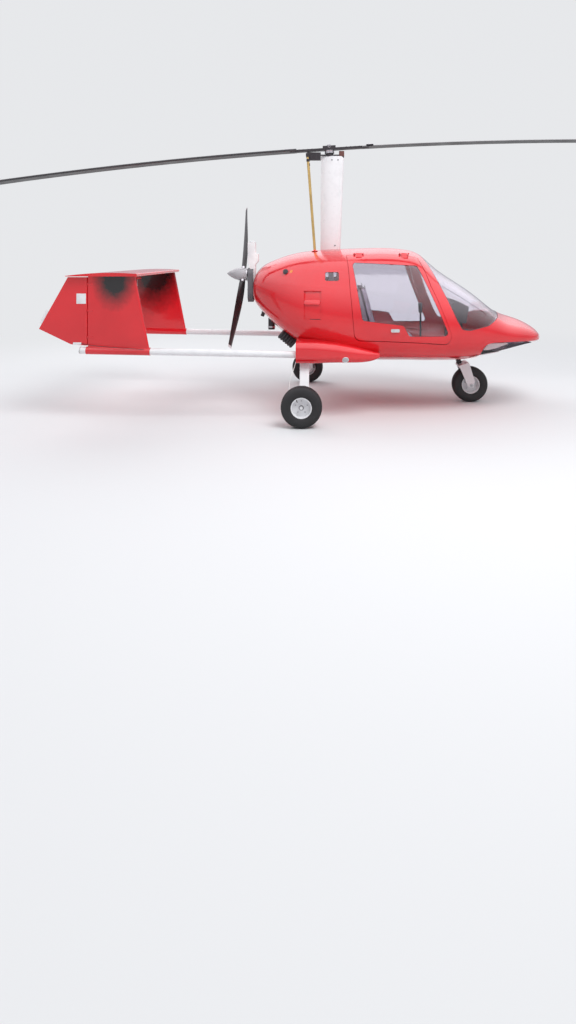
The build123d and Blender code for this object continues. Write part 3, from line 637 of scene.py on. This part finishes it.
# Countersunk screws on both sides of the cowl's joint, down to the sponsons
SCREW_LOW, SCREW_PITCH = 0.86, 0.072
COWL_SCREW = [(-0.002, 0.0036), (0.0004, 0.0044), (0.0009, 0.0038), (0.0007, 0.0016)]
for side, sign in SIDES.items():
    screws = [turned("screw", COWL_SCREW,
                     *flank("engine_cowl", COWL_SEAM_X, SCREW_LOW + step * SCREW_PITCH, sign), 12)
              for step in range(11)]
    dress(join(screws, f"cowl_screws_{side}"), RED_GELCOAT)

# Pressed lip of each side vent, laid across the cowl's joint, and below it a thin dark strip of
# painted shadow under the vent's lower edge
LIP_Z, VENT_SHADOW_Z = 1.20, 1.022
for side, sign in SIDES.items():
    at, face = flank("pod_upper", -0.066, LIP_Z, sign)
    aft_at, aft_face = flank("engine_cowl", -0.300, LIP_Z, sign)
    middle = at.lerp(aft_at, 0.51) + (face + aft_face) * 0.001
    dress(plate(f"vent_lip_{side}", (0.172, 0.052), 0.004, 0.012, middle,
                (face + aft_face) / 2 + Vector((0, 0, 0.28)), 0.0025), RED_GELCOAT)
    # The thin dark strip is painted shadow, not a real slot
    dress(plate(f"vent_shadow_strip_{side}", (0.115, 0.007), 0.0006, 0.003,
                *flank("engine_cowl", -0.155, VENT_SHADOW_Z, sign)), SEAL_RUBBER)


# Cabin

def cushion(name, size, crown, place, direction):
    """A crowned pad with two pressed channels and a seam that stands out round its middle."""
    long, wide, thick = size
    take()
    bpy.ops.mesh.primitive_cube_add(size=1)
    piece = bpy.context.object
    piece.name = name
    open_edit(piece)
    bpy.ops.transform.resize(value=size)
    bpy.ops.mesh.subdivide(number_cuts=5)
    pick(piece, lambda middle, normal: normal.z > 0.9
         and abs(middle.x) < long * 0.3 and abs(middle.y) < wide * 0.3)
    bpy.ops.transform.translate(value=(0, 0, crown), use_proportional_edit=True,
                                proportional_edit_falloff="SMOOTH",
                                proportional_size=wide * 0.45)
    pick(piece, lambda middle, run: middle.z > thick * 0.45 and abs(run.y) > 0.8
         and abs(abs(middle.x) - long / 6) < long * 0.02 and abs(middle.y) < wide * 0.4,
         edges=True)
    bpy.ops.transform.translate(value=(0, 0, -crown * 0.45))
    pick(piece, lambda middle, run: abs(middle.z) < thick * 0.1 and abs(run.z) < 0.3, edges=True)
    bpy.ops.transform.resize(value=(1.025, 1.025, 1), center_override=(0, 0, 0))
    bpy.ops.object.mode_set(mode="OBJECT")
    soften = piece.modifiers.new("soft", "SUBSURF")
    soften.levels = 2
    bpy.ops.object.modifier_apply(modifier="soft")
    lay(piece, place, direction)
    dress(piece, SEAT_CLOTH, sharp=60)
    return piece


BACK_RUN = Vector((-0.15, 0, 0.59)).normalized()
BACK_FACE = Vector((0.59, 0, 0.15)).normalized()
SEAT_Y = 0.29
seat_parts = []
for side, sign in SIDES.items():
    y = sign * SEAT_Y
    back_at = Vector((0.40, y, 1.08))
    seat_parts += [
        dress(plate(f"seat_pan_{side}", (0.56, 0.46), 0.135, 0.05, (0.62, y, 0.612),
                    (0.03, 0, 1), 0.012), DARK_TRIM),
        dress(plate(f"seat_shell_{side}", (0.46, 0.55), 0.05, 0.06,
                    Vector((0.39, y, 1.05)) - BACK_FACE * 0.045, BACK_FACE), SEAT_SHELL),
        cushion(f"seat_cushion_{side}", (0.50, 0.42, 0.06), 0.022, (0.655, y, 0.775),
                (-0.04, 0, 1)),
        cushion(f"back_cushion_{side}", (0.40, 0.50, 0.05), 0.02,
                back_at + BACK_FACE * 0.018, BACK_FACE)]
    lap = [(0.52, y - 0.2, 0.81), (0.56, y - 0.1, 0.835), (0.58, y, 0.842),
           (0.56, y + 0.1, 0.835), (0.52, y + 0.2, 0.81)]
    shoulder = [back_at + Vector((0, 0.08, 0)) + BACK_FACE * 0.062 + BACK_RUN * 0.27,
                back_at + Vector((0, 0.06, 0)) + BACK_FACE * 0.068,
                back_at + Vector((0, 0.03, 0)) + BACK_FACE * 0.072 - BACK_RUN * 0.18,
                (0.55, y + 0.01, 0.85)]
    dress(join([wire("strap", run, 0.004) for run in (lap, shoulder)], f"belt_{side}"),
          BELT_WEBBING)
    dress(plate(f"buckle_{side}", (0.05, 0.04), 0.012, 0.008, (0.575, y, 0.846), (0.1, 0, 1),
                0.003), BRIGHT_STEEL)
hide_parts("seats")


def pointer(size, thick, dial, out, lift, reach):
    """A flat mark on a dial, reach from its middle along out. dial is its place and face."""
    at, face = dial
    mark = plate("mark", size, thick, 0, (0, 0, 0), UP)
    return settle(mark, at + face * lift + out * reach, axes=(out.cross(face), out, face))


# Dials face aft on the panel's sloping side: level, radius and places across of each row
DIAL_ROWS = [(1.07, 0.04, (-0.30, -0.19, -0.08, 0.08, 0.19, 0.30)),
             (0.99, 0.028, (-0.24, -0.13, 0.13, 0.24))]
bezels, faces, marks = [], [], []
for z, radius, across in DIAL_ROWS:
    for y in across:
        at, face = dial = skin("instrument_panel", (0.8, y, z), AHEAD)
        bezels.append(turned("bezel", [(0, radius), (0.004, radius), (0.006, radius * 0.94),
                                       (0.006, radius * 0.86), (0.003, radius * 0.84)], at, face))
        faces.append(turned("dial", [(0.0026, radius * 0.83), (0.0036, radius * 0.82)], at, face))
        level = Vector((0, 1, 0))
        rise = face.cross(level).normalized()
        for tick in range(10):
            out = around(rise, level, -135 + 30 * tick)
            marks.append(pointer((radius * 0.05, radius * 0.16), 0.0006, dial, out, 0.0038,
                                 radius * 0.68))
        out = around(rise, level, -70 + 400 * y)
        marks.append(pointer((radius * 0.06, radius * 0.62), 0.0008, dial, out, 0.0044,
                             radius * 0.24))
dress(join(bezels, "dial_bezels"), DARK_TRIM)
dress(join(faces, "dial_faces"), DIAL_FACE)
dress(join(marks, "dial_marks"), PALE_MARK)

STICK_X = 1.06
dress(turned("stick_grip", [(0, 0.019), (0.008, 0.023), (0.03, 0.022), (0.05, 0.0235),
                            (0.07, 0.022), (0.095, 0.024), (0.108, 0.020), (0.114, 0.012)],
             (STICK_X, 0, 1.034), (-0.05, 0, 1)), SEAL_RUBBER)
dress(turned("stick_boot", [(0, 0.055), (0.006, 0.056), (0.012, 0.046), (0.02, 0.048),
                            (0.026, 0.036), (0.034, 0.038), (0.04, 0.026), (0.052, 0.024),
                            (0.058, 0.014)], (STICK_X, 0, 0.611), UP), SEAL_RUBBER)
for side, sign in SIDES.items():
    for step, out in (("inner", 0.20), ("outer", 0.34)):
        y = sign * out
        dress(plate(f"pedal_{step}_{side}", (0.11, 0.15), 0.008, 0.015, (1.53, y, 0.79),
                    (-0.9, 0, 0.42), 0.002), CAST_ALLOY)
        dress(wire(f"pedal_arm_{step}_{side}",
                   [(1.535, y, 0.785), (1.56, y, 0.72), (1.56, y, 0.612)], 0.008), DARK_STEEL)

# Mast and rotor

for side, sign in SIDES.items():
    bolts = [turned("bolt", BOLT, *flank("mast", x, z, sign, 0.5), 6)
             for x, z in ((0.03, 2.80), (0.10, 2.80), (0.065, 1.81))]
    dress(join(bolts, f"mast_bolts_{side}"), DARK_STEEL)

for side, sign in SIDES.items():
    top, foot = Vector((-0.25, sign * 0.18, 2.843)), Vector((-0.164, sign * 0.14, 1.70))
    run = (top - foot).normalized()
    dress(turned(f"rod_end_{side}", [(0, 0.013), (0.004, 0.0165), (0.03, 0.0165), (0.034, 0.010),
                                     (0.05, 0.010), (0.056, 0.017), (0.07, 0.019), (0.082, 0.014)],
                 top - run * 0.085, run, 20), DARK_STEEL)
    roof_at, _ = skin("engine_cowl", (foot.x + 0.035, foot.y, 2.3), DOWN)
    dress(turned(f"rod_boot_{side}", [(0, 0.036), (0.004, 0.037), (0.008, 0.026), (0.014, 0.0185),
                                      (0.018, 0.015)],
                 foot + run * ((roof_at.z - foot.z) / run.z - 0.002), run, 28), RED_GELCOAT)

for side, sign in SIDES.items():
    dress(turned(f"teeter_nut_{side}", [(0, 0.016), (0.0015, 0.016), (0.0015, 0.0135),
                                        (0.012, 0.0135), (0.0135, 0.0115)],
                 axis_point(0, 0.030, sign * 0.0505), (0, sign, 0), 6), BRIGHT_STEEL, "rotor")
dress(turned("hub_nut", [(0, 0.030), (0.003, 0.030), (0.003, 0.0235), (0.018, 0.0235),
                         (0.021, 0.019)], axis_point(0, 0.042), DISC_UP, 6),
      BRIGHT_STEEL, "rotor")
for place, sign in (("front", 1), ("rear", -1)):
    bolts = [turned("bolt", BOLT, axis_point(sign * (0.20 + 0.05 * step), 0.018, row), DISC_UP, 6)
             for step in range(4) for row in (-0.026, 0.026)]
    dress(join(bolts, f"bar_bolts_{place}"), BRIGHT_STEEL, "rotor")
    dress(plate(f"blade_strap_{place}", (0.17, 0.085), 0.005, 0.01,
                axis_point(sign * 0.47, 0.0225), DISC_UP, 0.0015), BRIGHT_STEEL, "rotor")
dress(turned("rotor_bearing", [(-0.0445, 0.050), (-0.044, 0.0575), (-0.036, 0.0575),
                               (-0.034, 0.0555), (-0.018, 0.0555), (-0.016, 0.0575),
                               (-0.010, 0.0575), (-0.0095, 0.050)],
             axis_point(0, 0), DISC_UP, 48), BRIGHT_STEEL, "rotor")
dress(plate("spin_up_drive", (0.060, 0.048), 0.061, 0.006, (0.143, 0, 2.8455), UP, 0.003),
      BROWN_STEEL)

# Propeller and its drive

PROP_UP = THRUST.cross(STARBOARD)
for side, angle in (("upper", -28.0), ("lower", 152.0)):
    dress(turned(f"blade_cuff_{side}", [(0.060, 0.022), (0.066, 0.026), (0.092, 0.025),
                                        (0.098, 0.020)],
                 PROP_AT, around(PROP_UP, STARBOARD, angle)), BRIGHT_STEEL, "propeller")
dress(turned("spinner_back", [(-0.050, 0.060), (-0.050, 0.0715), (-0.046, 0.0735),
                              (-0.040, 0.0735), (-0.038, 0.070)], PROP_AT, THRUST, 48),
      BRIGHT_STEEL, "propeller")
screws = []
for step in range(8):
    out = around(PROP_UP, STARBOARD, 22.5 + 45 * step)
    screws.append(turned("screw", [(0, 0.004), (0.0016, 0.0036), (0.0022, 0.002)],
                         PROP_AT - THRUST * 0.02 + out * 0.0742, out, 12))
dress(join(screws, "spinner_screws"), BRIGHT_STEEL, "propeller")
drive_bolts = [turned("bolt", BOLT, (-0.940, y, z), (-1, 0, 0), 6)
               for out, z in ((0.055, 1.30), (0.05, 1.40), (0.062, 1.215)) for y in (-out, out)]
dress(join(drive_bolts, "drive_bolts"), BRIGHT_STEEL)
dress(turned("tank_cap", [(0, 0.024), (0.006, 0.026), (0.012, 0.026), (0.016, 0.022)],
             (-0.90, 0, 1.849), UP, 20), TANK_SKIN)
drain_at, _ = skin("engine_cowl", (-0.76, 0, 0.4), UP)
dress(turned("cowl_drain", [(-0.020, 0.024), (0.010, 0.026), (0.014, 0.021), (0.050, 0.021),
                            (0.055, 0.018)], drain_at, (-0.4, 0, -1), 24), SEAL_RUBBER)
dress(turned("exhaust_clamp", [(-0.009, 0.0385), (-0.009, 0.0415), (0.009, 0.0415),
                               (0.009, 0.0385)], (-0.665, -0.07, 0.875), UP), BRIGHT_STEEL)

# Booms and tail

SHOE_FRONT_X, RIVET_PITCH = -1.87, 0.055
TAB_TOP, TAB_LOW = Vector((-2.886, 0, 1.124)), Vector((-2.961, 0, 0.991))
HORN_Z = 0.792
HINGE_PIN = [(-0.012, 0.004), (-0.011, 0.0052), (0.011, 0.0052), (0.012, 0.004)]
for side, sign in SIDES.items():
    across = Vector((0, sign * BOOM_Y, 0))
    dress(turned(f"boom_cap_{side}", [(-0.004, 0.0352), (0.004, 0.0352), (0.010, 0.033),
                                      (0.014, 0.026), (0.016, 0.012)],
                 BOOM_REAR + across - BOOM_RUN * 0.013, BOOM_RUN, 40), GREY_CAP)
    rivets = []
    for step in range(12):
        x = SHOE_FRONT_X - step * RIVET_PITCH
        centre = BOOM_FRONT + BOOM_RUN * ((BOOM_FRONT.x - x) / -BOOM_RUN.x) + across
        for tilt in (-32, 32):
            face = around(Vector((0, sign, 0)), UP, tilt)
            rivets.append(turned("rivet", DOME, centre + face * 0.0398, face, 10))
    dress(join(rivets, f"shoe_rivets_{side}"), RED_GELCOAT)
    hinges = []
    for z in (0.86, 1.13, 1.40):
        for outer in (-1, 1):
            hinges += [plate("strap", (0.052, 0.016), 0.0025, 0.005,
                             (RUDDER_X + 0.052, across.y + outer * 0.018, z),
                             (0, outer, 0), 0.0008),
                       turned("pin", HINGE_PIN,
                              (RUDDER_X + 0.0215, across.y + outer * 0.0195, z), UP, 12)]
    dress(join(hinges, f"rudder_hinges_{side}"), RED_GELCOAT)
    run = (TAB_LOW - TAB_TOP).normalized()
    away = Vector((run.z, 0, -run.x))
    away = away if away.x < 0 else -away
    tab = plate(f"trim_tab_{side}", (0.155, 0.034), 0.002, 0.003, (0, 0, 0), UP)
    settle(tab, TAB_TOP.lerp(TAB_LOW, 0.5) + away * 0.012 + across + Vector((0, -0.001, 0)),
           axes=(run, away, run.cross(away)))
    dress(tab, WHITE_ENAMEL, f"rudder_{side}")
    dress(plate(f"rudder_horn_{side}", (0.086, 0.024), 0.003, 0.006,
                (-2.591, sign * (BOOM_Y + 0.0155), HORN_Z), (0, sign, 0), 0.001),
          WHITE_ENAMEL, f"rudder_{side}")
    dress(wire(f"rudder_cable_{side}", [(-2.55, sign * (BOOM_Y + 0.0175), HORN_Z),
                                        (-2.44, sign * (BOOM_Y + 0.044), 0.775),
                                        (-2.2, sign * (BOOM_Y + 0.046), 0.755),
                                        (-1.9, sign * (BOOM_Y + 0.044), 0.735)], 0.0025),
          DARK_STEEL)

dress(plate("tail_plate", (0.098, 0.105), 0.0016, 0.004,
            *flank("rudder_right", -2.55, 1.2525, SIDES["right"]), 0.0005),
      WHITE_ENAMEL, "rudder_right")

# Sponson step lights
for side, sign in SIDES.items():
    at, face = flank(f"sponson_{side}", 0.16, 0.628, sign)
    dress(turned(f"step_lamp_{side}", [(-0.004, 0.030), (0.002, 0.031), (0.006, 0.029),
                                       (0.010, 0.021), (0.012, 0.010)], at, face, 28),
          CLEAR_LENS)
    dress(turned(f"step_lamp_ring_{side}", [(-0.004, 0.034), (0.0018, 0.0345), (0.0028, 0.033)],
                 at, face, 28), WHITE_ENAMEL)

# Wheels and brakes

TREAD = [(0.050, 0.098), (0.058, 0.1025), (0.067, 0.114), (0.0735, 0.131), (0.0765, 0.150),
         (0.0745, 0.168), (0.0695, 0.182), (0.0625, 0.1915), (0.0535, 0.1972), (0.0445, 0.2005),
         (0.0438, 0.1955), (0.0376, 0.1960), (0.0368, 0.2022), (0.0270, 0.2035),
         (0.0176, 0.2040), (0.0170, 0.1988), (0.0110, 0.1988), (0.0104, 0.2040), (0.0, 0.2040)]
TREAD_LOOP = TREAD + [(-along, radius) for along, radius in TREAD[-2::-1]]
RIM_BOLT = [(0, 0.0085), (0.0012, 0.0085), (0.0012, 0.007), (0.009, 0.007), (0.010, 0.0055)]
BEARING_RING = [(0, 0.0135), (0, 0.0245), (0.0025, 0.0245), (0.0035, 0.0225), (0.0015, 0.016),
                (0.0015, 0.0135)]
# Nuts on the axles: ends that have one, distance out, bore, sides and body. The nose axle's are
# round collars, because it is hollow
AXLE_NUTS = {"right": ((-1,), 0.0395, 0.0128, 6, "airframe"),
             "left": ((1,), 0.0395, 0.0128, 6, "airframe"),
             "nose": ((-1, 1), 0.104, 0.0075, 24, "nose_leg")}
for name, (x, y) in WHEELS.items():
    body = f"wheel_{name}"
    centre = Vector((x, y, AXLE_Z))
    outer = -1 if y <= 0 else 1
    tyre = hoop(f"tread_{name}", TREAD_LOOP, centre, (0, 1, 0))
    dress(tyre, RUBBER, body, sharp=40)
    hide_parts(f"tyre_{name}")
    bolts = [turned("bolt", RIM_BOLT, centre + around(AHEAD, UP, 90 + 72 * step) * 0.060
                    + Vector((0, face * 0.006, 0)), (0, face, 0), 6)
             for face in (-1, 1) for step in range(5)]
    rings = [hoop("ring", BEARING_RING, centre + Vector((0, face * 0.035, 0)), (0, face, 0), 40)
             for face in (-1, 1)]
    dress(join(bolts, f"rim_bolts_{name}"), BRIGHT_STEEL, body)
    dress(join(rings, f"bearing_rings_{name}"), DARK_STEEL, body)
    valve_at = centre + Vector((-0.050, outer * 0.03, 0.0735))
    dress(turned(f"valve_{name}", [(0, 0.0055), (0.012, 0.005), (0.012, 0.004), (0.026, 0.004),
                                   (0.027, 0.003)], valve_at, (0.35, outer * 0.5, -0.6), 12),
          SEAL_RUBBER, body)
    ends, reach, bore, sides, carrier = AXLE_NUTS[name]
    profile = [(0, bore), (0, 0.021), (0.010, 0.021), (0.012, 0.019), (0.012, bore)]
    nuts = [hoop("nut", profile, centre + Vector((0, face * reach, 0)), (0, face, 0), sides)
            for face in ends]
    dress(join(nuts, f"axle_nuts_{name}"), BRIGHT_STEEL, carrier)

# The caliper's blocks: size, thickness, corner, distance inboard, offset ahead, edge
PAD_AT = Vector((0.066, 0, 0.020))
CALIPER = [((0.036, 0.050), 0.0055, 0.006, 0.063, PAD_AT, 0.0),
           ((0.036, 0.050), 0.015, 0.006, 0.0835, PAD_AT, 0.002),
           ((0.012, 0.050), 0.0355, 0.003, 0.063, PAD_AT + AHEAD * 0.0235, 0.0),
           ((0.070, 0.030), 0.006, 0.008, 0.098, Vector((0.052, 0, 0.012)), 0.001)]
BRAKE_LINE = [(-0.325, 0.775, 0.69), (-0.34, 0.82, 0.64), (-0.362, 0.89, 0.555),
              (-0.40, 0.95, 0.45), (-0.418, 1.0, 0.33), (-0.36, 1.04, 0.25), (-0.25, 1.05, 0.245)]
for side, sign in SIDES.items():
    hub = Vector((MAIN_X, sign * TRACK, AXLE_Z))
    inboard = Vector((0, -sign, 0))
    disc = hoop(f"brake_disc_{side}", [(0.036, 0.027), (0.036, 0.040), (0.0735, 0.041),
                                       (0.0735, 0.076), (0.0785, 0.076), (0.0785, 0.034),
                                       (0.040, 0.032)], hub, inboard, 64)
    dress(disc, BRIGHT_STEEL, f"wheel_{side}")
    blocks = [plate("block", size, thick, corner, hub + inboard * depth + ahead, inboard, edge)
              for size, thick, corner, depth, ahead, edge in CALIPER]
    dress(join(blocks, f"caliper_{side}"), CAST_ALLOY)
    dress(wire(f"brake_line_{side}", [(x, sign * y, z) for x, y, z in BRAKE_LINE], 0.0035),
          PALE_HOSE)

# Nose leg and lamp

STEER_UP = Vector((-math.sin(STEER_TILT), 0, math.cos(STEER_TILT)))
STEER_LEVEL = Vector((math.cos(STEER_TILT), 0, math.sin(STEER_TILT)))
dress(turned("strut_collar", [(-0.058, 0.030), (-0.056, 0.034), (-0.040, 0.034),
                              (-0.038, 0.0295)], STEER_AT, STEER_UP, 36), DARK_STEEL)
crown_at = STEER_AT - STEER_UP * 0.066
crown_bolts = [turned("bolt", BOLT, crown_at + STEER_LEVEL * along + Vector((0, y, 0)), STEER_UP, 6)
               for y in (-0.07, 0.07) for along in (0.0, 0.055)]
dress(join(crown_bolts, "crown_bolts"), BRIGHT_STEEL, "nose_leg")

# The red skin rises ahead of the belly. The lamp housing hangs in that step, and a smoked tray
# goes round its underside. Outlines in x and z of the step's lower face and of its lid's back
STEP_RISE = math.radians(4.5)
STEP_FLOOR = 0.40
STEP_EDGE = [(1.612, 0.560), (1.618, 0.610), (1.632, 0.655), (1.655, 0.686), (1.69, 0.705),
             (1.75, 0.715), (1.85, 0.719), (2.12, 0.722), (2.25, 0.716), (2.33, 0.708),
             (2.46, 0.690)]
STEP_BACK = [(1.604, 0.561), (1.610, 0.613), (1.625, 0.661), (1.650, 0.694), (1.686, 0.714),
             (1.749, 0.724), (1.85, 0.728), (2.12, 0.731), (2.25, 0.725), (2.33, 0.717),
             (2.46, 0.699)]
tub_skin = merged_copy("pod_tub", "tub_skin")
nose_solid = merged_copy("pod_tub", "nose_solid")
open_edit(nose_solid)
bpy.ops.mesh.bisect(plane_co=(1.59, 0, 0), plane_no=(1, 0, 0), clear_inner=True)
bpy.ops.mesh.select_all(action="SELECT")
bpy.ops.mesh.convex_hull()
bpy.ops.mesh.select_all(action="SELECT")
bpy.ops.transform.resize(value=(0.998, 0.998, 0.998), center_override=(1.9, 0, NOSE_Z))
bpy.ops.object.mode_set(mode="OBJECT")


def step_block(name, outline, overlap, sign):
    """One side's half of a form in the nose step, a little past the middle line."""
    low_y, high_y = (-overlap, 0.9) if sign > 0 else (-0.9, overlap)
    return prism(name, outline, low_y, high_y, sign * STEP_RISE)


lids = []
for side, sign in SIDES.items():
    front = (STEP_EDGE[0][0], STEP_FLOOR)
    carve(tub_skin, step_block("tool", [front, *STEP_EDGE, (2.46, STEP_FLOOR)], 0.06, sign))
    lid = step_block(f"step_lid_{side}", [front, *STEP_EDGE, *reversed(STEP_BACK),
                                          (1.604, STEP_FLOOR)], 0.001, sign)
    lids.append(carve(lid, copy_of(nose_solid, "block"), "INTERSECT"))
bpy.data.objects.remove(nose_solid, do_unlink=True)
dress(join(lids, "step_lid"), RED_GELCOAT)
dress(tub_skin, RED_GELCOAT)
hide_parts("pod_tub")
dress(prism("lamp_bracket", [(1.80, 0.680), (1.99, 0.690), (2.00, 0.724), (1.79, 0.722)],
            -0.13, 0.13), DARK_TRIM)
tray = prism("smoked_tray", [(1.727, 0.570), (1.919, 0.606), (2.004, 0.628), (2.212, 0.684),
                             (2.30, 0.704), (2.25, 0.716), (2.05, 0.720), (2.035, 0.690),
                             (1.90, 0.640), (1.727, 0.600)], -0.16, 0.16)
open_edit(tray)
pick(tray, lambda middle, normal: normal.z > 0.5 or normal.x < -0.5 and middle.x > 1.8)
bpy.ops.mesh.delete(type="FACE")
bpy.ops.object.mode_set(mode="OBJECT")
wall = tray.modifiers.new("wall", "SOLIDIFY")
wall.thickness = 0.003
bpy.ops.object.modifier_apply(modifier="wall")
dress(tray, SMOKED_ACRYLIC)
dress(prism("tray_lip", [(1.716, 0.558), (1.93, 0.599), (1.93, 0.6055), (1.716, 0.566)],
            -0.161, 0.161), WHITE_ENAMEL)

LAMP_AT, LAMP_AIM = Vector((2.006, 0, 0.652)), Vector((0.93, 0, -0.36)).normalized()
dress(turned("lamp_bowl", [(-0.02, 0.040), (0.012, 0.048), (0.020, 0.0495), (0.024, 0.0475),
                           (0.020, 0.043), (0.006, 0.033)], LAMP_AT, LAMP_AIM, 48), CHROME)
dress(turned("lamp_lens", [(0.012, 0.042), (0.017, 0.0425), (0.024, 0.036), (0.028, 0.023),
                           (0.029, 0.008)], LAMP_AT, LAMP_AIM, 48), CLEAR_LENS)


# Stage

def mix_shaders(tree, factor, first, second):
    """Mix node output between two shaders."""
    mix = add_node(tree, "ShaderNodeMixShader", {"Fac": factor, 1: first, 2: second})
    return mix.outputs["Shader"]


def make_floor():
    """A pale matt floor that turns into the backdrop away from the aircraft."""
    take()
    bpy.ops.mesh.primitive_grid_add(size=120, x_subdivisions=4, y_subdivisions=4)
    floor = bpy.context.object
    floor.name = "studio_floor"
    material, tree, shader = new_material("floor_paint", (0.74, 0.745, 0.76, 1), 0.9)
    far = add_node(tree, "ShaderNodeMapRange", {"Value": add_distance(tree, (0, 0, 0)),
                                                "From Min": 2.5, "From Max": 9.0})
    far.interpolation_type = "SMOOTHSTEP"
    glow = add_node(tree, "ShaderNodeEmission", {"Color": BACKDROP})
    surface = mix_shaders(tree, far.outputs["Result"], shader.outputs["BSDF"],
                          glow.outputs["Emission"])
    feed(tree, tree.nodes["Material Output"], {"Surface": surface})
    floor.data.materials.append(material)


def make_lamp(name, place, aim, size, power):
    """A soft area lamp that panes and polished skins don't mirror."""
    light = bpy.data.lights.new(name, "AREA")
    light.shape = "DISK"
    light.size = size
    light.energy = power
    lamp = bpy.data.objects.new(name, light)
    bpy.context.scene.collection.objects.link(lamp)
    lamp.location = place
    lamp.visible_glossy = False
    lamp.visible_transmission = False
    lamp.rotation_euler = (Vector(aim) - Vector(place)).to_track_quat("-Z", "Y").to_euler()


def make_world():
    """Soft sky light, an overcast sky for gloss, and the plain backdrop behind the aircraft."""
    world = bpy.data.worlds.new("studio")
    bpy.context.scene.world = world
    world.use_nodes = True
    tree = world.node_tree
    place = add_node(tree, "ShaderNodeTexCoord").outputs["Generated"]
    height = add_node(tree, "ShaderNodeSeparateXYZ", {"Vector": place}).outputs["Z"]
    sky = tree.nodes["Background"]
    shade = add_ramp(tree, height, (0.42, 0.42, 0.44, 1), (0.95, 0.97, 1.0, 1), 0.0, 0.5)
    feed(tree, sky, {"Color": shade, "Strength": 0.75})
    backdrop = add_node(tree, "ShaderNodeBackground", {"Color": BACKDROP})
    gloss = add_ramp(tree, height, (0.20, 0.20, 0.22, 1), (1.0, 0.95, 1.0, 1), 0.05, 0.6)
    overcast = add_node(tree, "ShaderNodeBackground", {"Color": gloss, "Strength": 2.2})
    ray = tree.nodes.new("ShaderNodeLightPath")
    seen = add_math(tree, "MAXIMUM", ray.outputs["Is Camera Ray"],
                    ray.outputs["Is Transmission Ray"])
    plain = mix_shaders(tree, seen.outputs[0], sky.outputs["Background"],
                        backdrop.outputs["Background"])
    surface = mix_shaders(tree, ray.outputs["Is Glossy Ray"], plain,
                          overcast.outputs["Background"])
    feed(tree, tree.nodes["World Output"], {"Surface": surface})


def make_camera():
    """The photograph's camera, level, its frame shifted to the photograph's horizon."""
    camera = bpy.data.cameras.new("camera")
    camera.sensor_width = SENSOR
    camera.lens = FOCAL_PIXELS * SENSOR / IMAGE_H
    camera.shift_x = (IMAGE_W / 2 - EYE_COLUMN) / IMAGE_H
    camera.shift_y = (EYE_ROW - IMAGE_H / 2) / IMAGE_H
    holder = bpy.data.objects.new("camera", camera)
    bpy.context.scene.collection.objects.link(holder)
    holder.location = EYE
    holder.rotation_euler = (math.pi / 2, 0, 0)
    bpy.context.scene.camera = holder


make_floor()
make_lamp("key_light", (3.0, -5.0, 8.0), UP, 5.0, 520)
make_lamp("rim_light", (-5.0, 5.0, 7.0), UP, 6.0, 260)
make_world()
make_camera()
bpy.context.scene.view_settings.view_transform = "Standard"
